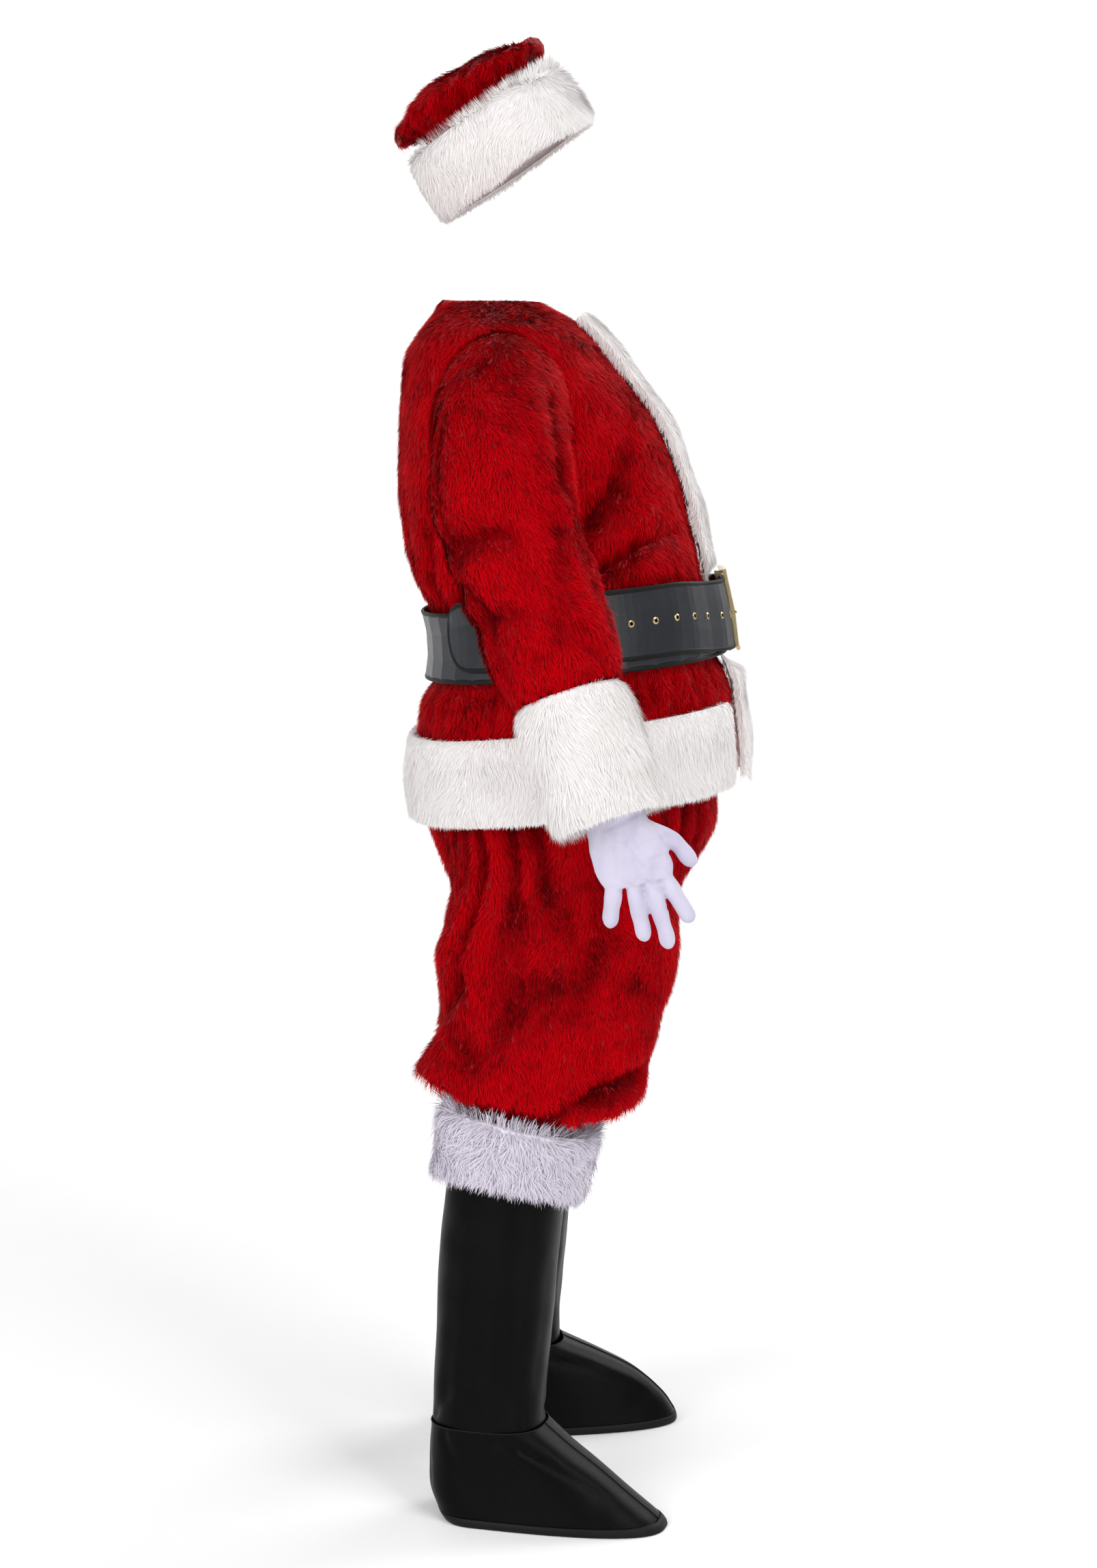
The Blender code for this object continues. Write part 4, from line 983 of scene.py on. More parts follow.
@dataclass(frozen=True)
class Knit:
    """Fine stretch knit, as on dress gloves, with painted shade along its wrinkles."""

    name: str
    colour: Colour
    # The shade colour is painted shade, laid along the wrinkles.
    shade: Colour

    def material(self) -> bpy.types.Material:
        """The knit's material."""
        n = Nodes(self.name)
        stitch = n.add("ShaderNodeTexVoronoi", {}, {"Vector": n.place, "Scale": 1500.0}, "Distance")
        # The wrinkle noise bumps the knit and paints shade along it.
        wrinkle = n.noise(45.0, 3.0, (1.0, 1.0, 0.5))
        return n.finish({"Sheen Weight": 0.2, "Sheen Roughness": 0.5, "Specular IOR Level": 0.3},
                        {"Base Color": n.mix(self.colour, self.shade, wrinkle.ramp(0.4, 0.75) * 0.55),
                         "Roughness": 0.72 + stitch * 0.1,
                         "Normal": n.bump(stitch * 0.12 + wrinkle * 0.88, 0.0016)})


class Finishes:
    """Every material of the suit, made once."""

    def __init__(self) -> None:
        """Make the materials."""
        self.red = Stuff(
            Pile("red_fur", (0.26, 0.0, 0.001), (0.71, 0.0, 0.006), (0.050, 0.0, 0.0008), 0.02,
                 (1.0, 0.04, 0.06)).material(),
            Backing("red_backing", (0.36, 0.0, 0.004), (0.26, 0.0, 0.003)).material(), "red_plush")
        self.white = Stuff(
            Pile("white_fur", (0.76, 0.735, 0.73), (0.77, 0.75, 0.745), (0.71, 0.68, 0.67),
                 glow=0.14).material(),
            Backing("white_backing", (0.94, 0.91, 0.90), (0.88, 0.84, 0.84)).material(), "white_fur")
        self.lilac = Stuff(
            Pile("lilac_fur", (0.60, 0.56, 0.64), (0.66, 0.62, 0.71), (0.50, 0.46, 0.54),
                 glow=0.10).material(),
            Backing("lilac_backing", (0.76, 0.73, 0.80), (0.68, 0.65, 0.72)).material(), "boot_fur")
        self.vinyl = Vinyl("belt_vinyl", (0.005, 0.006, 0.010), (0.012, 0.014, 0.022), 0.28,
                           shine=0.38).material()
        self.boot = Stuff(None, Vinyl("boot_vinyl", (0.0008, 0.0005, 0.0006), (0.002, 0.0014, 0.0016),
                                      0.27, shine=0.07).material(), "black_vinyl")
        self.binding = Stuff(None, Vinyl("binding_vinyl", (0.002, 0.002, 0.0022), (0.004, 0.004, 0.005),
                                         0.5, shine=0.18).material(), "black_vinyl")
        self.gold = Metal("plated_gold", (0.52, 0.42, 0.22), (0.30, 0.22, 0.10)).material()
        self.knit = Knit("glove_knit", (0.54, 0.51, 0.63), (0.42, 0.39, 0.53)).material()


def grid(us: Array, vs: Array) -> tuple[Array, Array]:
    """Every pair of the two coordinates, the first along the first axis."""
    return np.meshgrid(us, vs, indexing="ij")


def spaced(start: float, end: float, metres: float, step: float) -> Array:
    """Values from start to end, one each step of a run that is so many metres long."""
    return np.linspace(start, end, max(3, int(round(metres / step)) + 1))


@dataclass
class Gathers:
    """Uneven pleats that run up and down a garment, deepest at one level and gone at another."""

    count: int
    depth: float
    full: float
    faded: float
    seed: int

    def height(self, u: Array, v: Array) -> Array:
        """Height of the pleats at places, 0 on their crests and less between them."""
        draw = np.random.default_rng(self.seed)
        pitch = 360.0 / self.count
        centres = pitch * (np.arange(self.count) + 0.5 + 0.28 * draw.uniform(-1, 1, self.count))
        depths = self.depth * draw.uniform(0.5, 1.0, self.count)
        reach = draw.uniform(0.55, 1.0, self.count)
        slant = draw.uniform(-18.0, 18.0, self.count)
        total = np.zeros(np.broadcast(u, v).shape)
        for centre, depth, far, lean in zip(centres, depths, reach, slant):
            gap = (u - centre - lean * (v - self.full)) / (pitch * 0.24)
            faded = self.full + (self.faded - self.full) * far
            share = 1.0 - smooth_step(abs(v - self.full), 0.0, abs(faded - self.full))
            total -= depth * np.exp(-gap * gap) * share
        return total


TURNED_IN = 0.03  # cloth a trim's edges take up
RED_PILE = Coat(210000, 0.0145, 0.0018, 16.0, stray=11.0, bend=0.0, roll=16.0)
WHITE_PILE = Coat(380000, 0.0175, 0.0017, 10.0, sway=20.0, stray=8.0, bend=0.0, roll=12.0, mottle=0.6)
BOOT_PILE = Coat(260000, 0.0230, 0.0014, 15.0, sway=40.0, stray=18.0, clump=0.03, uneven=0.4,
                 bend=10.0, roll=16.0, mottle=0.7, upright=60.0)
POMPOM_PILE = Coat(140000, 0.0190, 0.0026, 62.0, sway=60.0, stray=40.0)


def relief_tone(relief: Array, depth: float = 0.010) -> Array:
    """Painted shade of the pile: a deeper colour in a trough and a lighter one on a ridge."""
    return 0.25 + 1.1 * np.clip(relief / depth, -1.0, 0.6)


@dataclass
class Jacket:
    """The jacket's body, hem band and front trim."""

    finishes: Finishes
    step: float = 0.0075
    mean_radius: float = 0.24
    hem_radius: float = 0.26
    top: float = 1.540
    bottom: float = 0.897
    height: float = 0.66
    cut_run: float = 0.60
    cut_length: float = 0.72
    belt_half: float = 0.045
    hem_bottom: float = 0.893
    hem_top: float = 1.007
    hem_slope: float = 0.12
    hem_end_left: float = 10.9
    hem_end_right: float = 335.1
    armhole_centre: tuple = (0.0, 0.010, 1.375)
    armhole_depth: float = 0.085
    armhole_rise: float = 0.115
    armhole_inner: float = 0.180
    rim_height: float = 0.006
    rim_reach: float = 0.28
    strip: tuple = (-0.094, -0.046)
    surface: Torso = field(default_factory=Torso)
    panels: tuple = (("jacket_back", 90.05, 269.95), ("jacket_front_left", 0.05, 89.95),
                     ("jacket_front_right", 270.05, 359.95))
    creases: tuple = (
        Ridge(285, 1.194, 304, 1.226, 0.014, -0.024), Ridge(304, 1.226, 330, 1.241, 0.012, -0.014),
        Ridge(286, 1.228, 313, 1.266, 0.013, 0.016), Ridge(288, 1.262, 303, 1.305, 0.012, -0.022),
        Ridge(303, 1.305, 320, 1.375, 0.016, -0.011), Ridge(286, 1.325, 302, 1.388, 0.014, 0.008),
        Ridge(75, 1.196, 57, 1.226, 0.014, -0.018), Ridge(57, 1.226, 34, 1.238, 0.012, -0.010),
        Ridge(74, 1.228, 48, 1.264, 0.013, 0.012), Ridge(72, 1.264, 58, 1.303, 0.012, -0.017),
        Ridge(58, 1.303, 42, 1.370, 0.016, -0.010), Ridge(74, 1.328, 59, 1.386, 0.014, 0.007),
        Ridge(336, 1.330, 346, 1.200, 0.016, -0.005), Ridge(22, 1.330, 14, 1.210, 0.016, -0.005),
        Ridge(214, 1.170, 230, 1.310, 0.013, -0.012), Ridge(222, 1.200, 238, 1.300, 0.012, 0.006),
        Ridge(234, 1.175, 246, 1.340, 0.013, -0.011), Ridge(147, 1.170, 131, 1.310, 0.013, -0.012),
        Ridge(139, 1.200, 123, 1.300, 0.012, 0.006), Ridge(127, 1.175, 115, 1.330, 0.013, -0.011),
        Ridge(180, 1.170, 176, 1.360, 0.015, -0.008), Ridge(197, 1.180, 202, 1.320, 0.012, -0.009),
        Ridge(163, 1.180, 159, 1.320, 0.012, -0.009))

    def relief(self, u: Array, v: Array) -> Array:
        """Height of the creases and gathers at places of the jacket."""
        above = Gathers(34, 0.0075, 1.160, 1.235, 3).height(u, v)
        below = Gathers(34, 0.0130, 1.064, 0.970, 4).height(u, v)
        belt = window(v - BELT_LEVEL, self.belt_half, self.belt_half + 0.012)
        fold = ridges(u, v, self.creases, 0.0038, 1.0)
        rim = self.from_armhole(self.surface.point(u, v)) - 1.0
        seam = self.rim_height * np.exp(-(rim / self.rim_reach) ** 2)
        return (np.where(v > BELT_LEVEL, above, below) + fold) * (1.0 - belt) - 0.002 * belt + seam

    def from_armhole(self, points: Array) -> Array:
        """Distance from the armhole's centre: 1 on its rim, seen from the side."""
        gap = points - self.armhole_centre
        return np.hypot(gap[..., 1] / self.armhole_depth, gap[..., 2] / self.armhole_rise)

    def armhole(self, points: Array) -> Array:
        """Which places lie inside an armhole."""
        return (self.from_armhole(points) < 1.0) & (np.abs(points[..., 0]) > self.armhole_inner)

    def build_body(self) -> None:
        """The red body in its three panels."""
        for name, start, end in self.panels:
            us = spaced(start, end, math.radians(end - start) * self.mean_radius, self.step)
            u, v = grid(us, spaced(self.bottom + 0.004, self.top, self.height, self.step))
            relief = self.relief(u, v)
            # The tone paints shade into the creases' troughs and light onto their ridges.
            cloth = Sheet(name + "_cloth", self.surface.offset(u, v, relief - PLUSH_DEPTH),
                          tone=relief_tone(relief))
            cloth.keep = ~self.armhole(cloth.corner(cloth.points, 0, 0))
            cloth.facing(1.0)
            cloth.lay(self.finishes.red, (cloth.area() / self.cut_run, self.cut_length), "gathered",
                      ["belt_strap"], replace(RED_PILE, seed=11), amount=self.amount)

    def amount(self, points: Array) -> Array:
        """How long the pile is: none under the belt and the hem band."""
        x, y, z = points[..., 0], points[..., 1], points[..., 2]
        level = z + BELT_SLOPE * y
        belt = window(level - BELT_LEVEL, self.belt_half - 0.010, self.belt_half + 0.004)
        hem = smooth_step(z + self.hem_slope * y, self.hem_top - 0.012, self.hem_top - 0.004)
        bare_of_fur = (x > self.strip[0]) & (x < self.strip[1]) & (y < 0)
        return (1.0 - belt) * np.where(bare_of_fur, 1.0, hem)

    def build_trims(self) -> None:
        """The fur band round the hem and the fur down the front edge."""
        for word, start, end in (("back", 90.05, 269.95), ("left", self.hem_end_left, 89.95),
                                 ("right", 270.05, self.hem_end_right)):
            under = "jacket_back_cloth" if word == "back" else f"jacket_front_{word}_cloth"
            us = spaced(start, end, math.radians(end - start) * self.hem_radius, 0.007)
            trim = Trim("hem_band_" + word, self.surface, us, start=self.hem_bottom, end=self.hem_top,
                        metres=0.114, outer=0.0165, inner=0.0006, pile=0.0085, turn=0.010, rests=under)
            trim.build(self.finishes.white, replace(WHITE_PILE, seed=40))
        Placket(self.finishes).build()


@dataclass
class Sleeve:
    """A sleeve and its fur cuff."""

    finishes: Finishes
    side: Side
    u_metres: float = 0.00145
    v_metres: float = 0.050
    cap_height: float = 0.006
    cut_run: float = 0.42
    cut_length: float = 0.50
    # A patch of painted shade on the upper sleeve.
    dark_patch: tuple = (Ridge(356, 1.5, 338, 2.8, 0.045, -1.0),)
    folds: tuple = (
        Ridge(310, 2.0, 304, 3.1, 0.014, -0.012), Ridge(304, 3.1, 276, 3.7, 0.013, -0.012),
        Ridge(318, 4.2, 345, 6.2, 0.015, -0.008), Ridge(285, 3.8, 300, 5.6, 0.014, -0.010),
        Ridge(68, 4.6, 4, 4.3, 0.013, -0.010), Ridge(4, 4.35, 338, 4.2, 0.013, -0.008),
        Ridge(60, 5.2, 350, 5.1, 0.014, -0.009), Ridge(40, 4.9, 10, 4.8, 0.012, 0.005),
        Ridge(70, 2.4, 62, 4.2, 0.014, -0.011), Ridge(48, 5.7, 58, 7.4, 0.014, -0.009),
        Ridge(100, 3.8, 84, 6.4, 0.014, -0.010), Ridge(150, 2.8, 170, 4.4, 0.014, -0.011),
        Ridge(205, 3.2, 190, 4.8, 0.014, -0.011), Ridge(235, 2.8, 262, 4.4, 0.014, -0.011),
        Ridge(20, 5.9, 350, 6.7, 0.015, -0.008), Ridge(255, 5.4, 290, 6.6, 0.014, -0.009),
        Ridge(130, 6.0, 110, 7.6, 0.014, -0.008), Ridge(352, 6.4, 325, 7.2, 0.014, -0.007))

    def build(self) -> None:
        """The sleeve's cloth and pile, then its cuff."""
        surface, sign = Arm(SLEEVE, self.side), self.side.value
        us = np.linspace(0, 360, 76, endpoint=False)
        u, v = grid(us, np.concatenate((np.linspace(0.1, 2, 18)[:-1], np.linspace(2, 8, 46))))
        relief = ridges(u, v, self.folds, self.u_metres, self.v_metres)
        relief = relief + self.cap_height * window(v - 0.6, 0.4, 1.2)
        # The tone paints shade into the folds' troughs and over the patch, and light onto the ridges.
        tone = relief_tone(relief) + ridges(u, v, self.dark_patch, self.u_metres, self.v_metres)
        cloth = Sheet(f"sleeve_{self.side.word}_cloth", surface.offset(u, v, relief - PLUSH_DEPTH),
                      closed=True, tone=tone).facing(surface.outward)
        cloth.lay(self.finishes.red, (cloth.area() / self.cut_run, self.cut_length), "hung",
                  ["jacket_back_cloth"], replace(RED_PILE, nap=-12.0 * sign, seed=20 + sign),
                  down=np.array((0.15 * sign, -0.25, -1.0)))
        self.build_cuff()

    def build_cuff(self) -> None:
        """The fur cuff at the end of the sleeve, rolled over at both edges."""
        sign = self.side.value
        trim = Trim("sleeve_cuff_" + self.side.word, Arm(CUFF, self.side),
                    np.linspace(0, 360, 72, endpoint=False), start=0.0, end=4.0, metres=0.160, outer=0.0,
                    inner=-0.019, pile=0.0085, turn=0.012, rests=f"sleeve_{self.side.word}_cloth")
        trim.build(self.finishes.white, replace(WHITE_PILE, length=0.0215, seed=30 + sign),
                   down=np.array((0.2 * sign, -0.3, -1.0)))


@dataclass
class Trim:
    """A padded fur trim: a roll of cloth round a band of a surface.

    The band runs from start to end, which is so many metres.  Its faces lie at the distances outer,
    less the pile, and inner from the surface, and its edges are rounded over the length of turn.
    Tufts are shortened towards the edges to the shares low_edge and high_edge.
    """

    name: str
    surface: Surface
    us: Array
    start: float
    end: float
    metres: float
    outer: float
    inner: float
    pile: float
    turn: float
    rests: str
    low_edge: float = 0.3
    high_edge: float = 0.4

    def build(self, stuff: Stuff, coat: Coat, down: Array | None = None, held: str = "hung") -> None:
        """Build the roll and its pile.

        Args:
            stuff: What it is made of.
            coat: The pile.
            down: Direction the nap is brushed in.
            held: How the cloth is held.
        """
        shares = np.concatenate((np.zeros(4), np.linspace(0, 1, 22)[1:-1], np.ones(4)))
        lifts = np.concatenate((np.linspace(0, 1, 5)[:4], np.ones(20), np.linspace(1, 0, 5)[1:]))
        edge = self.turn / self.metres
        round_in = 1.0 - window(np.minimum(shares, 1 - shares), 0.0, edge) * 0.35
        span = self.end - self.start
        inset = self.pile / self.metres * span
        levels = self.start + inset * 0.6 + (span - 1.2 * inset) * shares
        top = self.outer - self.pile
        heights = self.inner + (top - self.inner) * lifts * round_in
        u, v = grid(self.us, levels)
        closed = self.us[-1] - self.us[0] > 340
        low = np.clip((shares * self.metres + 0.003) / coat.length, self.low_edge, 1.0)
        high = np.clip((1.0 - shares) * self.metres / 0.030, self.high_edge, 1.0)
        cloth = Sheet(self.name + "_cloth", self.surface.offset(u, v, np.broadcast_to(heights, u.shape)),
                      closed=closed, pile=np.broadcast_to(low * high, u.shape))
        cloth.facing(self.surface.outward)
        cloth.lay(stuff, self.metres + TURNED_IN, held, [self.rests], coat, down)


@dataclass
class FrontTrim(Surface):
    """The strip of the jacket under its front trim: u is -1 and 1 at its edges, v the level."""

    half: float = 0.047
    step_u: float = 0.05
    torso: Torso = field(default_factory=Torso)

    def point(self, u: Array, v: Array) -> Array:
        """Points of the jacket's front, measured from the floor."""
        half_width = JACKET.at(v)[0]
        share = np.minimum(1.0, np.abs(self.half * u) / half_width) ** (SECTION_POWER / 2.0)
        return self.torso.point(np.degrees(np.arcsin(share)) * np.sign(u), v)


@dataclass
class Placket:
    """The strip of white fur down the jacket's front edge, pressed flat by the belt."""

    finishes: Finishes
    full: float = 0.025
    pressed: float = 0.0045
    pile: float = 0.0095
    clear: float = 0.0012
    top: float = 1.513
    bottom: float = 0.893
    length: float = 0.66
    step: float = 0.008
    cut_width: float = 0.125

    def build(self) -> None:
        """The trim's cloth and pile."""
        lifts = np.concatenate((np.linspace(0, 1, 4)[:3], np.ones(15), np.linspace(1, 0, 4)[1:]))
        shares = np.concatenate((-np.ones(3), np.linspace(-1, 1, 15), np.ones(3))) * 0.90
        u, v = grid(shares, spaced(self.bottom + 0.006, self.top, self.length, self.step))
        lift = lifts[:, None]
        level = window(v - BELT_LEVEL, 0.056, 0.082)
        full = (self.full * (0.45 + 0.55 * window(u, 0.5, 1.3)) - self.pile) * (1 + 0.12 * np.sin(v * 61))
        height = full + (self.pressed - 0.003 - full) * level
        surface = FrontTrim()
        points = surface.offset(u, v, self.clear + (height - self.clear) * lift)
        pile = np.broadcast_to(0.6 + 0.4 * window(u, 0.45, 0.9), u.shape)
        cloth = Sheet("jacket_placket_cloth", points, pile=pile).facing(1.0)
        cloth.lay(self.finishes.white, self.cut_width, "hung", ["jacket_front_left_cloth"],
                  replace(WHITE_PILE, seed=50), amount=self.amount)

    def amount(self, points: Array) -> Array:
        """How long the pile is: none under the belt."""
        level = points[..., 2] + BELT_SLOPE * points[..., 1]
        return 1.0 - window(level - BELT_LEVEL, 0.038, 0.056)


@dataclass
class Trousers:
    """Two front and two back panels, gathered in above the boots, with a waistband."""

    finishes: Finishes
    step: float = 0.0078
    half_round: float = 0.37
    cut: tuple = (0.46, 0.80)
    bottom: float = 0.520
    top: float = 1.09
    band_bottom: float = 1.091
    band_top: float = 1.125
    band_width: float = 0.04
    middle_gap: float = 0.0008
    creases: dict = field(default_factory=lambda: {
        "right": (
            Ridge(164, 0.548, 150, 0.566, 0.010, -0.020), Ridge(150, 0.566, 116, 0.582, 0.013, -0.026),
            Ridge(158, 0.536, 118, 0.552, 0.012, 0.008), Ridge(140, 0.600, 112, 0.606, 0.014, 0.007),
            Ridge(56, 0.925, 64, 0.800, 0.014, -0.014), Ridge(78, 0.930, 84, 0.800, 0.013, -0.013),
            Ridge(104, 0.930, 98, 0.760, 0.015, -0.012), Ridge(126, 0.930, 122, 0.800, 0.014, -0.013),
            Ridge(150, 0.900, 158, 0.760, 0.018, -0.013), Ridge(98, 0.640, 70, 0.700, 0.018, -0.011),
            Ridge(112, 0.860, 106, 0.700, 0.018, 0.006), Ridge(166, 0.735, 174, 0.660, 0.018, -0.010),
            Ridge(140, 0.700, 120, 0.640, 0.018, -0.008), Ridge(28, 0.760, 60, 0.700, 0.016, -0.011),
            Ridge(30, 0.560, 70, 0.572, 0.013, -0.012),
            Ridge(252, 0.925, 240, 0.776, 0.013, -0.024), Ridge(240, 0.780, 235, 0.690, 0.012, -0.019),
            Ridge(235, 0.695, 250, 0.648, 0.012, -0.016), Ridge(238, 0.920, 226, 0.760, 0.015, 0.010),
            Ridge(262, 0.800, 252, 0.720, 0.013, 0.007), Ridge(222, 0.925, 206, 0.790, 0.016, -0.017),
            Ridge(206, 0.790, 199, 0.650, 0.022, -0.010), Ridge(198, 0.905, 178, 0.770, 0.016, -0.014),
            Ridge(186, 0.700, 206, 0.620, 0.022, -0.011), Ridge(212, 0.880, 196, 0.780, 0.012, 0.006),
            Ridge(288, 0.930, 284, 0.830, 0.012, -0.016), Ridge(270, 0.925, 266, 0.760, 0.013, -0.014),
            Ridge(306, 0.920, 296, 0.740, 0.016, -0.012), Ridge(262, 0.640, 290, 0.600, 0.016, -0.011),
            Ridge(216, 0.600, 236, 0.640, 0.016, -0.008), Ridge(330, 0.770, 300, 0.700, 0.016, -0.010),
            Ridge(320, 0.570, 280, 0.585, 0.014, -0.010)),
        "left": (
            Ridge(160, 0.552, 112, 0.568, 0.012, -0.020), Ridge(60, 0.930, 52, 0.790, 0.015, -0.014),
            Ridge(84, 0.925, 90, 0.800, 0.013, -0.012), Ridge(120, 0.935, 128, 0.740, 0.016, -0.014),
            Ridge(104, 0.925, 108, 0.790, 0.014, 0.006), Ridge(152, 0.920, 146, 0.760, 0.018, -0.013),
            Ridge(104, 0.650, 76, 0.690, 0.018, -0.010), Ridge(134, 0.670, 150, 0.600, 0.018, -0.009),
            Ridge(26, 0.750, 58, 0.690, 0.016, -0.011), Ridge(24, 0.566, 66, 0.560, 0.013, -0.012),
            Ridge(170, 0.880, 190, 0.760, 0.018, -0.013), Ridge(176, 0.700, 166, 0.620, 0.020, -0.009),
            Ridge(226, 0.930, 240, 0.780, 0.014, -0.018), Ridge(240, 0.780, 230, 0.670, 0.014, -0.013),
            Ridge(250, 0.920, 258, 0.740, 0.015, 0.007), Ridge(202, 0.920, 196, 0.760, 0.016, -0.014),
            Ridge(268, 0.925, 260, 0.740, 0.013, -0.013), Ridge(294, 0.930, 300, 0.770, 0.014, -0.014),
            Ridge(206, 0.690, 222, 0.620, 0.018, -0.010), Ridge(256, 0.650, 284, 0.610, 0.016, -0.010),
            Ridge(326, 0.760, 304, 0.690, 0.016, -0.010), Ridge(310, 0.575, 270, 0.566, 0.014, -0.010))})

    def levels(self, surface: Leg) -> Array:
        """Levels evenly spaced along the cloth, from the gathered bottom to the waist."""
        fine = np.linspace(self.bottom, self.top, 400)
        line = surface.point(np.full(400, 270.0 if surface.is_back else 90.0), fine)
        run = np.concatenate(([0.0], np.cumsum(np.linalg.norm(np.diff(line, axis=0), axis=1))))
        return np.interp(np.linspace(0, run[-1], int(run[-1] / self.step)), run, fine)

    def build(self) -> None:
        """The four panels and the waistband."""
        for side in Side:
            for is_back, word in ((False, "front"), (True, "back")):
                self.build_panel(side, is_back, f"trousers_{word}_{side.word}")
        self.build_waistband()

    def build_waistband(self) -> None:
        """The band round the waist, under the jacket."""
        ring = np.linspace(0, 360, 72, endpoint=False)
        u, v = grid(ring, np.linspace(self.band_bottom, self.band_top, 6))
        rise, half, front, side_y, back, _, _, _ = LEGS.at(v)
        sine, cosine = rounded(u)
        y = side_y - np.where(cosine > 0.0, side_y - front, back - side_y) * cosine
        band = Sheet("waistband_cloth", vector(half * sine, y, v - rise * y), closed=True)
        band.lay(self.finishes.red, self.band_width, "gathered", ["trousers_back_left"])

    def build_panel(self, side: Side, is_back: bool, name: str) -> None:
        """One panel with its pile."""
        surface = Leg(side, is_back)
        start = 180.15 if is_back else 0.15
        us = spaced(start, start + 179.7, self.half_round, self.step)
        u, v = grid(us, self.levels(surface))
        relief = ridges(u, v, self.creases[side.word], 0.0021, 1.0)
        relief = relief + Gathers(26, 0.010, 0.530, 0.570, 60 + side.value).height(u, v)
        relief = relief + Gathers(24, 0.009, 0.985, 0.800, 70 + side.value).height(u, v)
        inset = PLUSH_DEPTH * smooth_step(v, 0.522, 0.545)
        points = surface.offset(u, v, relief - inset)
        points[..., 0] = np.maximum(points[..., 0] * side.value, self.middle_gap) * side.value
        rim = 1.0 + 0.3 * window(v - 0.552, 0.008, 0.020)
        # The tone paints shade into the creases' troughs and light onto their ridges.
        cloth = Sheet(name + "_cloth", points, tone=relief_tone(relief), pile=rim).facing(surface.outward)
        cloth.lay(self.finishes.red, self.cut, "gathered", ["waistband", "boot_cuff_" + side.word],
                  replace(RED_PILE, sway=20.0, seed=80 + side.value), amount=self.amount)

    @staticmethod
    def amount(points: Array) -> Array:
        """How long the pile is: none high under the jacket, short between the legs."""
        covered = smooth_step(points[..., 2], 0.955, 0.975)
        between = window(points[..., 0], 0.004, 0.016)
        return (1.0 - covered) * (1.0 - 0.45 * between)


